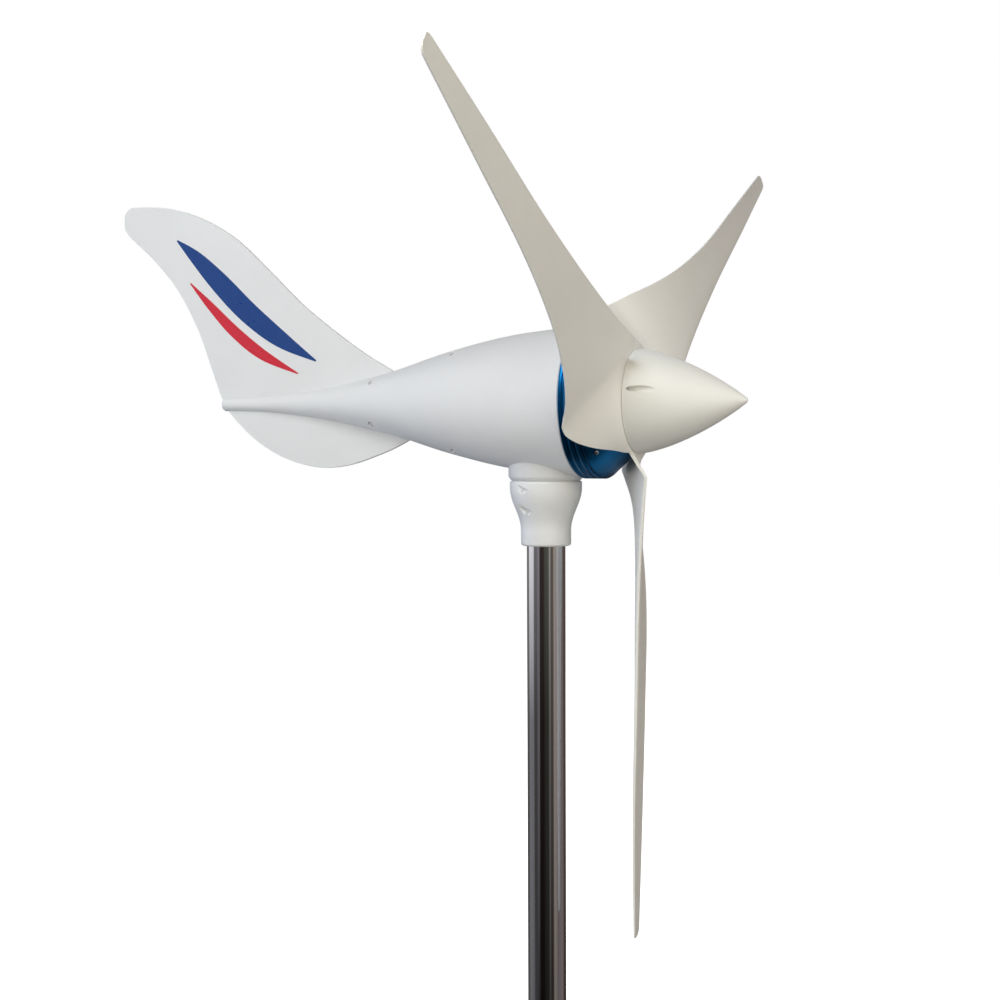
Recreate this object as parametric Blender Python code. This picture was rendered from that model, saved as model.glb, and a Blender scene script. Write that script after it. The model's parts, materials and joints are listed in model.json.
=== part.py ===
"""Small three-bladed wind turbine on a tube mast.

Metres, +Z up. The origin is the centre of the mast tube's lower end. The rotor shaft runs along X, its
nose towards +X, and the yaw axis is Z. Every piece is modelled in the hub frame, whose origin is the point
where the shaft axis meets the yaw axis, so heights below the shaft are negative.
"""

from math import asin, cos, pi, radians, sin, sqrt

import bmesh
import bpy
from mathutils import Matrix, Vector

# Driving dimensions
SHAFT_HEIGHT = 0.720
ROTOR_RADIUS = 0.610
BLADE_COUNT = 3
GAP = 0.0003

# Mast tube and the white sleeve over its top. Heights in the hub frame are negative below the shaft.
TUBE_RADIUS = 0.02225
TUBE_WALL = 0.0020
TUBE_TOP = -0.1100
SLEEVE_TOP = -0.0905
SLEEVE_BOTTOM = -0.1650
SLEEVE_TOP_RADIUS = 0.0415
SLEEVE_LEDGE_RADIUS = 0.0390
SLEEVE_FOOT_RADIUS = 0.0289
SLEEVE_NECK_START = -0.0980
SLEEVE_NECK_END = -0.1470
SLEEVE_EDGE = 0.0030
SLEEVE_SCREW_DIRECTION = radians(-110)
SLEEVE_SCREW_HEIGHTS = (-0.1017, -0.1266)
RECESS_LEAN = radians(18)
RECESS_DIVE = radians(65)
RECESS_RADIUS = 0.0130
RECESS_END = (0.0036, 0.0036)
RECESS_RUN = 0.0400
SCREW_FLOOR = 0.0029
SLEEVE_LIP = (0.0010, 0.0020)

# Yaw spindle, its two bearings and the slip rings above them
PLUG_RADIUS = 0.0199
PLUG_BOTTOM = -0.1600
FLANGE_RADIUS = 0.0335
FLANGE_TOP = -0.0970
YAW_JOURNAL = 0.0125
YAW_SHOULDER = 0.0150
YAW_BEARING_OUTER = 0.0260
YAW_BEARING_WIDTH = 0.0120
YAW_BEARING_HEIGHTS = {"lower": -0.0765, "upper": -0.0455}
SPINDLE_NECK = 0.0080
SPINDLE_NECK_START = -0.0330
SPINDLE_TOP = 0.0080
SPINDLE_NUT_RADIUS = 0.0195
WIRE_BORE = 0.0045
SLIP_RING_HEIGHTS = (-0.0250, -0.0130, -0.0010)
SLIP_RING_HALF = 0.0030
SLIP_RING_INNER = 0.0113
SLIP_RING_OUTER = 0.0140
SLIP_CORE_OUTER = 0.0150
SLIP_CORE_END = 0.0030
BRUSH_HALF_WIDTH = 0.0025
BRUSH_HALF_HEIGHT = 0.0020
BRUSH_OUTER = 0.0215
BRUSH_HOLDER = ((0.0175, -0.0090), (0.0300, 0.0090))
BRUSH_HOLDER_TOP = 0.0060

# Yaw head casting
COLLAR_RADIUS = 0.0430
COLLAR_FOOT_RADIUS = 0.0408
COLLAR_BOTTOM = -0.0895
COLLAR_TOP = -0.0600
COLUMN_RADIUS = 0.0330
COLUMN_TOP = -0.0345
END_PLATE = (0.0340, 0.0400)
END_PLATE_RADIUS = 0.0745
HEAD_WEB = ((0.0100, -0.0260, -0.0750), (0.0370, 0.0260, -0.0370))
HEAD_STEP_RADIUS = 0.0220
BEARING_BOSS_RADIUS = 0.0240
BEARING_BOSS_MARGIN = 0.0015
SHAFT_HOLE_RADIUS = 0.0100

# Nacelle: radius at stations along the shaft axis, tail to front rim
NACELLE_STATIONS = (
    (-0.4300, 0.0080),
    (-0.3600, 0.0104),
    (-0.2800, 0.0200),
    (-0.2000, 0.0366),
    (-0.1200, 0.0595),
    (-0.0400, 0.0768),
    (0.0490, 0.0860),
)
NACELLE_WALL = 0.0030
NACELLE_TAIL = -0.4340
CAVITY_TAIL = -0.3050
NACELLE_SCREWS = ((-0.216, 0.025), (-0.216, -0.025), (-0.105, 0.0565), (-0.105, -0.0565))
NACELLE_SCREW_NAMES = ("tail_upper", "tail_lower", "body_upper", "body_lower")
NACELLE_SCREW_INSET = 0.0034
NACELLE_SCREW_REACH = 0.0095
BOSS_RADIUS = 0.0060

# Blue alternator housing in front of the nacelle
HOUSING_RADIUS = 0.0875
HOUSING_REAR = 0.0493
HOUSING_FRONT = 0.1045
HOUSING_INNER = 0.0783
CONE_START = 0.0742
CONE_SLOPE = 0.87
SPIGOT = (0.0437, 0.0820)
GROOVE_START = 0.0550
GROOVE_PITCH = 0.0078
GROOVE_COUNT = 3
GROOVE_WIDTH = 0.0034
GROOVE_DEPTH = 0.0020
GROOVE_SLANT = 0.0005
RIM_BEVEL = (0.0010, 0.0012)
HOUSING_FRONT_WALL = 0.0045
HOUSING_SCREW_STATION = 0.0830
HOUSING_SCREW_COUNT = 4

# Alternator and main shaft
SHAFT_RADIUS = 0.0085
SHAFT_REAR = 0.0365
SHAFT_FRONT = 0.1290
HUB_SEAT_START = 0.1000
HUB_SEAT_RADIUS = 0.0080
THREAD_RADIUS = 0.0060
MAIN_BEARING_OUTER = 0.0175
MAIN_BEARING_WIDTH = 0.0100
MAIN_BEARING_STATIONS = {"rear": 0.0415, "front": 0.0930}
STATOR = (0.0520, 0.0740)
STATOR_OUTER = 0.0775
STATOR_YOKE = 0.0680
STATOR_BORE = 0.0490
STATOR_TEETH = 9
TOOTH_TIP = 0.0040
SLOT_HALF_WIDTH = 0.0062
WINDING_HALF_WIDTH = 0.0048
WINDING_HALF_DEPTH = 0.0045
WINDING_OVERHANG = (0.0010, 0.0058)
MAGNET_OUTER = 0.0480
CORE_OUTER = 0.0395
CORE_RIM = 0.0320
CORE_HUB = 0.0180
CORE_WEB = (0.0600, 0.0660)
CORE_HUB_FRONT = 0.0850

# Hub stack: rear plate, blade palms and clamp plate
HUB_PLATE = (0.1055, 0.1085)
HUB_PLATE_RADIUS = 0.0580
PALM_CENTRE = 0.1110
PALM_THICKNESS = 0.0040
CLAMP_PLATE = (0.1133, 0.1163)
CLAMP_PLATE_RADIUS = 0.0565
BLADE_BOLT_RING = 0.0400
BLADE_BOLT_SPREAD = radians(25)
HUB_NUT_RADIUS = 0.0120
HUB_NUT_FRONT = 0.1246

# Spinner
SPINNER_BASE = 0.1135
SPINNER_LENGTH = 0.1255
SPINNER_RADIUS = 0.0590
SPINNER_WALL = 0.0018
OGIVE_LENGTH = 0.1275
OGIVE_POWERS = (1.45, 0.92)
NOSE_BALL = 0.0040
SCOOP_FLOOR = 0.1180
SCOOP_RING = 0.0545
SCOOP_RADIUS = 0.0042
SCOOP_DIRECTION = radians(17)
SPINNER_SCREW_RING = 0.0545
LUG_RADIUS = 0.0062
LUG_FRONT = 0.1650
NOSE_FLAT = 0.0015

# Fasteners, each as head radius, head height and shank radius
SLEEVE_SCREW = (0.0020, 0.0012, 0.0010)
NACELLE_SCREW = (0.0029, 0.0022, 0.0016)
HOUSING_SCREW = (0.0029, 0.0019, 0.0015)
SPINNER_SCREW = (0.0021, 0.0016, 0.0010)
BLADE_BOLT = (0.0050, 0.0040, 0.0027)

# Blade. Directions about the shaft are measured from the blade's own span. A station is the distance from the
# shaft axis, then the axial and tangential place of the leading edge and of the trailing edge.
ROOT_RING = 0.0610
ROOT_LEADING = radians(-22)
ROOT_TRAILING = radians(98)
PALM_RINGS = (0.0180, 0.0380, 0.0585)
ROOT_BULGE_POWER = 1.4
# The skirt's trailing edge from root to corner: share of the way, distance from the shaft, direction, axial place
SKIRT_TRAILING = (
    (0.00, 0.0610, radians(98.0), 0.1110),
    (0.15, 0.0680, radians(83.0), 0.1020),
    (0.30, 0.0755, radians(74.5), 0.0935),
    (0.50, 0.0895, radians(64.0), 0.0810),
    (0.70, 0.1010, radians(56.5), 0.0712),
    (0.85, 0.1085, radians(50.8), 0.0651),
    (1.00, 0.1137, radians(45.1), 0.0643),
)
BLADE_STATIONS = (
    (0.085, 0.1303, -0.0252, 0.0658, 0.0793),
    (0.120, 0.1265, -0.0238, 0.0812, 0.0755),
    (0.170, 0.1219, -0.0213, 0.0940, 0.0651),
    (0.240, 0.1176, -0.0176, 0.1031, 0.0521),
    (0.340, 0.1140, -0.0130, 0.1068, 0.0379),
    (0.470, 0.1105, -0.0108, 0.1070, 0.0274),
    (0.610, 0.1087, -0.0040, 0.1066, 0.0160),
)
BLADE_THICKNESS = ((0.085, 0.0075), (0.170, 0.0085), (0.340, 0.0060), (0.470, 0.0045), (0.610, 0.0026))
BLADE_EDGE_THICKNESS = 0.0018
BLADE_CAMBER = 0.03
TIP_ROUND = 0.0100
TIP_CORNERS = (0.12, 0.40)

# Tail fin outline in the plane y = 0, as (x, z). It starts and ends inside the nacelle's tail.
FIN_UPPER = (
    (-0.182, 0.026),
    (-0.194, 0.037),
    (-0.242, 0.065),
    (-0.313, 0.116),
    (-0.368, 0.166),
    (-0.412, 0.204),
    (-0.460, 0.231),
    (-0.507, 0.246),
    (-0.548, 0.2502),
)
FIN_TIP = (-0.563, 0.2360)
FIN_TIP_RADIUS = 0.0145
FIN_TRAILING = (
    (-0.5775, 0.2360),
    (-0.5768, 0.2240),
    (-0.5680, 0.2125),
    (-0.5340, 0.1833),
    (-0.4990, 0.1450),
    (-0.4695, 0.0950),
    (-0.4495, 0.0450),
    (-0.4350, 0.0080),
    (-0.4310, 0.0020),
)
FIN_LOWER = (
    (-0.429, -0.004),
    (-0.412, -0.022),
    (-0.383, -0.046),
    (-0.345, -0.066),
    (-0.298, -0.077),
    (-0.255, -0.074),
    (-0.205, -0.058),
    (-0.174, -0.0435),
    (-0.160, -0.034),
)
FIN_THICKNESS = 0.0055
FIN_EDGE = 0.0014

AXES = {"X": Matrix.Rotation(pi / 2, 4, "Y"), "Z": Matrix.Identity(4)}
SHELL_ROUND = 30
ROUND = 24
BEARING_ROUND = 18
SMALL_ROUND = 14
SCREW_ROUND = 8
HEX = 6
OVERSHOOT = 0.01


def clear_scene():
    for obj in list(bpy.data.objects):
        bpy.data.objects.remove(obj, do_unlink=True)


def material(name, colour, roughness, metallic=0.0):
    made = bpy.data.materials.new(name)
    made.use_nodes = True
    made.diffuse_color = (*colour, 1.0)
    shader = made.node_tree.nodes["Principled BSDF"]
    shader.inputs["Base Color"].default_value = (*colour, 1.0)
    shader.inputs["Roughness"].default_value = roughness
    shader.inputs["Metallic"].default_value = metallic
    return made


def pivot(name, location):
    empty = bpy.data.objects.new(name, None)
    empty.location = location
    bpy.context.scene.collection.objects.link(empty)
    return empty


def place(name, shape, finish, parent):
    """Turns a bmesh into a named object that stands in its parent's frame."""
    bmesh.ops.remove_doubles(shape, verts=shape.verts, dist=1.0e-6)
    bmesh.ops.recalc_face_normals(shape, faces=shape.faces)
    mesh = bpy.data.meshes.new(name)
    shape.to_mesh(mesh)
    shape.free()
    mesh.shade_smooth()
    mesh.set_sharp_from_angle(angle=radians(35))
    mesh.materials.append(finish)
    obj = bpy.data.objects.new(name, mesh)
    obj.parent = parent
    bpy.context.scene.collection.objects.link(obj)
    return obj


def turned(profile, axis="Z", segments=ROUND):
    """A body of revolution. The profile is a closed loop of (radius, place along the axis)."""
    shape = bmesh.new()
    loop = [shape.verts.new((radius, 0.0, along)) for radius, along in profile]
    edges = [shape.edges.new((loop[i - 1], loop[i])) for i in range(len(loop))]
    bmesh.ops.spin(
        shape,
        geom=loop + edges,
        axis=(0, 0, 1),
        cent=(0, 0, 0),
        angle=2 * pi,
        steps=segments,
        use_merge=True,
    )
    bmesh.ops.remove_doubles(shape, verts=shape.verts, dist=1.0e-6)
    on_axis = [edge for edge in shape.edges if not edge.link_faces]
    bmesh.ops.delete(shape, geom=on_axis, context="EDGES")
    bmesh.ops.transform(shape, matrix=AXES[axis], verts=shape.verts)
    return shape


def ring(inner, outer, low, high):
    return [(inner, low), (outer, low), (outer, high), (inner, high)]


def rod(start, end, radius, segments=SCREW_ROUND):
    """A closed cylinder between two points."""
    start, end = Vector(start), Vector(end)
    shape = bmesh.new()
    bmesh.ops.create_cone(
        shape,
        cap_ends=True,
        segments=segments,
        radius1=radius,
        radius2=radius,
        depth=(end - start).length,
    )
    turn = Vector((0, 0, 1)).rotation_difference(end - start).to_matrix().to_4x4()
    bmesh.ops.transform(shape, matrix=Matrix.Translation((start + end) / 2) @ turn, verts=shape.verts)
    return shape


def block(low, high):
    low, high = Vector(low), Vector(high)
    shape = bmesh.new()
    bmesh.ops.create_cube(shape, size=1.0)
    size = Matrix.Diagonal((*(high - low), 1.0))
    bmesh.ops.transform(shape, matrix=Matrix.Translation((low + high) / 2) @ size, verts=shape.verts)
    return shape


def plate(outline, half_thickness):
    """A flat plate from an outline in the XZ plane, centred on y = 0."""
    shape = bmesh.new()
    face = shape.faces.new([shape.verts.new((x, -half_thickness, z)) for x, z in outline])
    grown = bmesh.ops.extrude_face_region(shape, geom=[face])["geom"]
    moved = [item for item in grown if isinstance(item, bmesh.types.BMVert)]
    bmesh.ops.translate(shape, vec=(0, 2 * half_thickness, 0), verts=moved)
    return shape


def merged(*shapes):
    """One bmesh with the geometry of several."""
    whole = bmesh.new()
    for shape in shapes:
        mesh = bpy.data.meshes.new("piece")
        shape.to_mesh(mesh)
        shape.free()
        whole.from_mesh(mesh)
        bpy.data.meshes.remove(mesh)
    return whole


def boolean(target, shape, operation):
    """Adds a Boolean with a hidden helper that stands in the target's frame."""
    number = len(target.modifiers) + 1
    helper = place(f"{target.name}_helper_{number}", shape, target.active_material, target.parent)
    helper.hide_render = True
    helper.display_type = "WIRE"
    modifier = target.modifiers.new(f"{operation.lower()}_{number}", "BOOLEAN")
    modifier.operation = operation
    modifier.object = helper
    modifier.solver = "EXACT"
    return helper


def cut(target, *shapes):
    for shape in shapes:
        boolean(target, shape, "DIFFERENCE")


def join(target, *shapes):
    for shape in shapes:
        boolean(target, shape, "UNION")


def around(direction, radius, along):
    """A point at a direction about the shaft, measured from straight down towards +Y."""
    return Vector((along, radius * sin(direction), -radius * cos(direction)))


def spline(points, steps):
    """A smooth curve through the points, with the given number of steps between neighbours."""
    padded = [points[0], *points, points[-1]]
    curve = []
    for before, start, end, after in zip(padded, padded[1:], padded[2:], padded[3:]):
        for step in range(steps):
            t = step / steps
            curve.append(
                tuple(
                    b + 0.5 * t * (c - a + t * (2 * a - 5 * b + 4 * c - d + t * (3 * (b - c) + d - a)))
                    for a, b, c, d in zip(before, start, end, after)
                )
            )
    return curve + [points[-1]]


def read(table, place_along):
    """Reads a row of a station table at a place, following a smooth curve through its rows."""
    last = len(table) - 2
    index = max(0, min(last, sum(row[0] <= place_along for row in table) - 1))
    before, start = table[max(index - 1, 0)], table[index]
    end, after = table[index + 1], table[min(index + 2, len(table) - 1)]
    width = end[0] - start[0]
    t = (place_along - start[0]) / width
    row = []
    for a, b, c, d in zip(before[1:], start[1:], end[1:], after[1:]):
        slope_in = (c - a) / (end[0] - before[0]) * width
        slope_out = (d - b) / (after[0] - start[0]) * width
        rise = c - b
        bend = 3 * rise - 2 * slope_in - slope_out
        twist = slope_in + slope_out - 2 * rise
        row.append(b + t * (slope_in + t * (bend + t * twist)))
    return row


def screw(name, seat, inward, size, length, finish, parent):
    """A pan-head screw: its head stands on the seat point and its shank runs inward."""
    head_radius, head_height, shank_radius = size
    inward = Vector(inward).normalized()
    profile = [
        (0.0, -length),
        (shank_radius, -length),
        (shank_radius, 0.0),
        (head_radius, 0.0),
        (head_radius, 0.6 * head_height),
        (0.0, head_height),
    ]
    shape = turned(profile, segments=SCREW_ROUND)
    turn = Vector((0, 0, 1)).rotation_difference(-inward).to_matrix().to_4x4()
    bmesh.ops.transform(shape, matrix=Matrix.Translation(seat) @ turn, verts=shape.verts)
    place(name, shape, finish, parent)


def hole(size):
    """The radius of the hole that a fastener's shank stands in."""
    return size[2] + GAP


def bearing(name, axis, centre, bore, outer, width, finish, parents):
    """A ball bearing: inner ring, outer ring, and the balls held in their cage."""
    inner_parent, outer_parent, cage_parent = parents
    pitch = (bore + outer) / 2
    ball = 0.27 * (outer - bore)
    land = 0.20 * (outer - bore)
    groove = 0.31 * (outer - bore)
    reach = asin(land / groove)
    half = width / 2
    bends = [reach + (pi - 2 * reach) * step / 4 for step in (1, 2, 3)]
    inner_arc = [(pitch - groove * sin(bend), centre - groove * cos(bend)) for bend in bends]
    outer_arc = [(pitch + groove * sin(bend), centre - groove * cos(bend)) for bend in bends]
    inner = [(bore, centre - half), (pitch - land, centre - half), *inner_arc]
    inner += [(pitch - land, centre + half), (bore, centre + half)]
    outside = [(outer, centre - half), (pitch + land, centre - half), *outer_arc]
    outside += [(pitch + land, centre + half), (outer, centre + half)]
    place(f"{name}_inner_ring", turned(inner, axis, BEARING_ROUND), finish, inner_parent)
    place(f"{name}_outer_ring", turned(outside, axis, BEARING_ROUND), finish, outer_parent)
    band = ring(pitch - 0.2 * ball, pitch + 0.2 * ball, centre - 0.35 * ball, centre + 0.35 * ball)
    cage = place(f"{name}_ball_cage", turned(band, axis, BEARING_ROUND), finish, cage_parent)
    balls = bmesh.new()
    count = 6
    for number in range(count):
        turn = Matrix.Rotation(2 * pi * number / count, 4, "Z")
        spot = AXES[axis] @ turn @ Matrix.Translation((pitch, 0, centre))
        bmesh.ops.create_uvsphere(balls, u_segments=6, v_segments=4, radius=ball, matrix=spot)
    join(cage, balls)


def sleeve_radius(height):
    """The sleeve's outer radius: a wide top that necks down to a straight foot."""
    fall = (SLEEVE_NECK_START - height) / (SLEEVE_NECK_START - SLEEVE_NECK_END)
    fall = max(0.0, min(1.0, fall))
    return SLEEVE_FOOT_RADIUS + (SLEEVE_TOP_RADIUS - SLEEVE_FOOT_RADIUS) * (1 + cos(pi * fall)) / 2


def spinner_radius(along):
    """The spinner's outer radius: an ogive closed by a small ball at the nose."""
    share = max(0.0, min(1.0, (along - SPINNER_BASE) / OGIVE_LENGTH))
    ogive = SPINNER_RADIUS * (1 - share**OGIVE_POWERS[0]) ** OGIVE_POWERS[1]
    depth = max(0.0, SPINNER_BASE + SPINNER_LENGTH - along)
    ball = sqrt(depth * (2 * NOSE_BALL - depth)) if depth < NOSE_BALL / 2 else ogive
    return min(ogive, ball)


def housing_radius(along):
    return HOUSING_RADIUS - CONE_SLOPE * max(0.0, along - CONE_START)


def make_mast(parent, finishes):
    tube = ring(TUBE_RADIUS - TUBE_WALL, TUBE_RADIUS, -SHAFT_HEIGHT, TUBE_TOP)
    place("mast_tube", turned(tube), finishes["steel"], parent)
    make_sleeve(parent, finishes)
    spindle = [
        (WIRE_BORE, PLUG_BOTTOM),
        (PLUG_RADIUS, PLUG_BOTTOM),
        (PLUG_RADIUS, TUBE_TOP + GAP),
        (FLANGE_RADIUS, TUBE_TOP + GAP),
        (FLANGE_RADIUS, FLANGE_TOP),
        (YAW_SHOULDER, FLANGE_TOP),
        (YAW_SHOULDER, YAW_BEARING_HEIGHTS["lower"] - YAW_BEARING_WIDTH / 2 - GAP),
        (YAW_JOURNAL, YAW_BEARING_HEIGHTS["lower"] - YAW_BEARING_WIDTH / 2 - GAP),
        (YAW_JOURNAL, SPINDLE_NECK_START),
        (SPINDLE_NECK, SPINDLE_NECK_START),
        (SPINDLE_NECK, SPINDLE_TOP),
        (WIRE_BORE, SPINDLE_TOP),
    ]
    place("yaw_spindle", turned(spindle, segments=SMALL_ROUND), finishes["machined_steel"], parent)
    nut_low = YAW_BEARING_HEIGHTS["upper"] + YAW_BEARING_WIDTH / 2 + GAP
    nut = rod((0, 0, nut_low), (0, 0, COLUMN_TOP - GAP), SPINDLE_NUT_RADIUS, HEX)
    nut = place("yaw_spindle_nut", nut, finishes["machined_steel"], parent)
    cut(nut, rod((0, 0, nut_low - OVERSHOOT), (0, 0, SPINDLE_TOP), YAW_JOURNAL + 2 * GAP, SMALL_ROUND))
    make_slip_rings(parent, finishes)


def make_sleeve(parent, finishes):
    steps = 6
    fall = SLEEVE_NECK_END - SLEEVE_NECK_START
    neck = [SLEEVE_NECK_START + fall * step / steps for step in range(steps + 1)]
    ledge = COLLAR_BOTTOM - GAP
    outline = [(FLANGE_RADIUS + GAP, ledge), (SLEEVE_LEDGE_RADIUS, ledge), (SLEEVE_LEDGE_RADIUS, SLEEVE_TOP)]
    outline.append((SLEEVE_TOP_RADIUS - SLEEVE_LIP[0], SLEEVE_TOP))
    outline.append((SLEEVE_TOP_RADIUS, SLEEVE_TOP - SLEEVE_LIP[1]))
    outline += [(sleeve_radius(height), height) for height in neck]
    outline.append((SLEEVE_FOOT_RADIUS, SLEEVE_BOTTOM + SLEEVE_EDGE))
    outline.append((SLEEVE_FOOT_RADIUS - 0.3 * SLEEVE_EDGE, SLEEVE_BOTTOM + 0.3 * SLEEVE_EDGE))
    outline.append((SLEEVE_FOOT_RADIUS - SLEEVE_EDGE, SLEEVE_BOTTOM))
    outline += [(TUBE_RADIUS + GAP, SLEEVE_BOTTOM), (TUBE_RADIUS + GAP, TUBE_TOP)]
    outline.append((FLANGE_RADIUS + GAP, TUBE_TOP))
    sleeve = place("mast_sleeve", turned(outline), finishes["white_plastic"], parent)
    out = Vector((cos(SLEEVE_SCREW_DIRECTION), sin(SLEEVE_SCREW_DIRECTION), 0))
    level = Vector((-out.y, out.x, 0))
    lean = Vector((0, 0, cos(RECESS_LEAN))) + level * sin(RECESS_LEAN)
    inward = lean * sin(RECESS_DIVE) - out * cos(RECESS_DIVE)
    lift = lean * cos(RECESS_DIVE) + out * sin(RECESS_DIVE)
    rise, depth = RECESS_END
    for name, height in zip(("upper", "lower"), SLEEVE_SCREW_HEIGHTS):
        surface = out * sleeve_radius(height) + Vector((0, 0, height))
        end = surface + lean * rise - out * depth + lift * RECESS_RADIUS
        cut(sleeve, rod(end - inward * RECESS_RUN, end, RECESS_RADIUS, ROUND))
        floor = surface - out * SCREW_FLOOR
        cut(sleeve, rod(surface, floor, SLEEVE_SCREW[0] + GAP))
        length = 0.0030
        cut(sleeve, rod(surface, floor - out * (length + GAP), hole(SLEEVE_SCREW)))
        seat = floor + out * GAP
        screw(f"sleeve_screw_{name}", seat, -out, SLEEVE_SCREW, length, finishes["white_plastic"], parent)


def make_slip_rings(parent, finishes):
    low = SPINDLE_NECK_START + GAP
    core = [(SPINDLE_NECK + GAP, low), (SLIP_CORE_OUTER, low)]
    for height in SLIP_RING_HEIGHTS:
        seat = SLIP_RING_HALF + GAP
        core += [(SLIP_CORE_OUTER, height - seat), (SLIP_RING_INNER - GAP, height - seat)]
        core += [(SLIP_RING_INNER - GAP, height + seat), (SLIP_CORE_OUTER, height + seat)]
    top = SLIP_RING_HEIGHTS[-1] + SLIP_RING_HALF + SLIP_CORE_END
    core += [(SLIP_CORE_OUTER, top), (SPINDLE_NECK + GAP, top)]
    place("slip_ring_core", turned(core, segments=SMALL_ROUND), finishes["black_plastic"], parent)
    for number, height in enumerate(SLIP_RING_HEIGHTS, start=1):
        profile = ring(SLIP_RING_INNER, SLIP_RING_OUTER, height - SLIP_RING_HALF, height + SLIP_RING_HALF)
        place(f"slip_ring_{number}", turned(profile, segments=SMALL_ROUND), finishes["copper"], parent)


def make_bearings(mast, head, rotor, finishes):
    steel = finishes["machined_steel"]
    for name, height in YAW_BEARING_HEIGHTS.items():
        size = (YAW_JOURNAL + GAP, YAW_BEARING_OUTER, YAW_BEARING_WIDTH)
        bearing(f"yaw_bearing_{name}", "Z", height, *size, steel, (mast, head, mast))
    for name, along in MAIN_BEARING_STATIONS.items():
        size = (SHAFT_RADIUS + GAP, MAIN_BEARING_OUTER, MAIN_BEARING_WIDTH)
        bearing(f"main_bearing_{name}", "X", along, *size, steel, (rotor, head, head))


def make_yaw_head(parent, finishes):
    """The casting that carries the yaw bearings, the visible collar and the alternator's rear plate."""
    body = [
        (0.0, COLLAR_BOTTOM),
        (COLLAR_FOOT_RADIUS, COLLAR_BOTTOM),
        (COLLAR_RADIUS, COLLAR_BOTTOM + 0.0040),
        (COLLAR_RADIUS, COLLAR_TOP),
        (COLUMN_RADIUS, COLLAR_TOP),
        (COLUMN_RADIUS, COLUMN_TOP),
        (0.0, COLUMN_TOP),
    ]
    head = place("yaw_head", turned(body), finishes["white_plastic"], parent)
    rear, front = END_PLATE
    boss_front = MAIN_BEARING_STATIONS["rear"] + MAIN_BEARING_WIDTH / 2 + BEARING_BOSS_MARGIN
    end_plate = [(0.0, rear), (END_PLATE_RADIUS, rear), (END_PLATE_RADIUS, front)]
    end_plate += [(BEARING_BOSS_RADIUS, front), (BEARING_BOSS_RADIUS, boss_front), (0.0, boss_front)]
    join(head, turned(end_plate, "X"))
    join(head, block(*HEAD_WEB))
    seat = YAW_BEARING_OUTER + GAP
    inset = YAW_BEARING_WIDTH / 2 + GAP
    step_low = YAW_BEARING_HEIGHTS["lower"] + inset
    step_high = YAW_BEARING_HEIGHTS["upper"] - inset
    foot = COLLAR_BOTTOM - OVERSHOOT
    bore = [(0.0, foot), (seat, foot), (seat, step_low), (HEAD_STEP_RADIUS, step_low)]
    bore += [(HEAD_STEP_RADIUS, step_high), (seat, step_high), (seat, 0.0), (0.0, 0.0)]
    cut(head, turned(bore))
    seat = MAIN_BEARING_OUTER + GAP
    seat_rear = MAIN_BEARING_STATIONS["rear"] - MAIN_BEARING_WIDTH / 2 - GAP
    low, high = rear - OVERSHOOT, boss_front + OVERSHOOT
    shaft_bore = [(0.0, low), (SHAFT_HOLE_RADIUS, low), (SHAFT_HOLE_RADIUS, seat_rear)]
    shaft_bore += [(seat, seat_rear), (seat, high), (0.0, high)]
    cut(head, turned(shaft_bore, "X"))


def make_brushes(parent, finishes):
    holder_low, holder_high = BRUSH_HOLDER
    holder = block((*holder_low, COLUMN_TOP + GAP), (*holder_high, BRUSH_HOLDER_TOP))
    holder = place("brush_holder", holder, finishes["black_plastic"], parent)
    for number, height in enumerate(SLIP_RING_HEIGHTS, start=1):
        low = Vector((SLIP_RING_OUTER + GAP, -BRUSH_HALF_WIDTH, height - BRUSH_HALF_HEIGHT))
        high = Vector((BRUSH_OUTER, BRUSH_HALF_WIDTH, height + BRUSH_HALF_HEIGHT))
        place(f"brush_{number}", block(low, high), finishes["carbon"], parent)
        margin = Vector((GAP, GAP, GAP))
        cut(holder, block(low - margin, high + margin))


def nacelle_solid():
    stations = spline(NACELLE_STATIONS, 2)
    outline = [(0.0, NACELLE_TAIL), (0.0060, NACELLE_TAIL + 0.0012)]
    outline += [(radius, along) for along, radius in stations]
    return turned(outline + [(0.0, NACELLE_STATIONS[-1][0])], "X", SHELL_ROUND)


def nacelle_cavity():
    stations = [row for row in spline(NACELLE_STATIONS, 2) if row[0] > CAVITY_TAIL + OVERSHOOT]
    outline = [(0.0, CAVITY_TAIL)]
    outline += [(radius - NACELLE_WALL, along) for along, radius in stations]
    front = NACELLE_STATIONS[-1]
    outline += [(front[1] - NACELLE_WALL + GAP, front[0] + OVERSHOOT), (0.0, front[0] + OVERSHOOT)]
    return turned(outline, "X", SHELL_ROUND)


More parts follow.
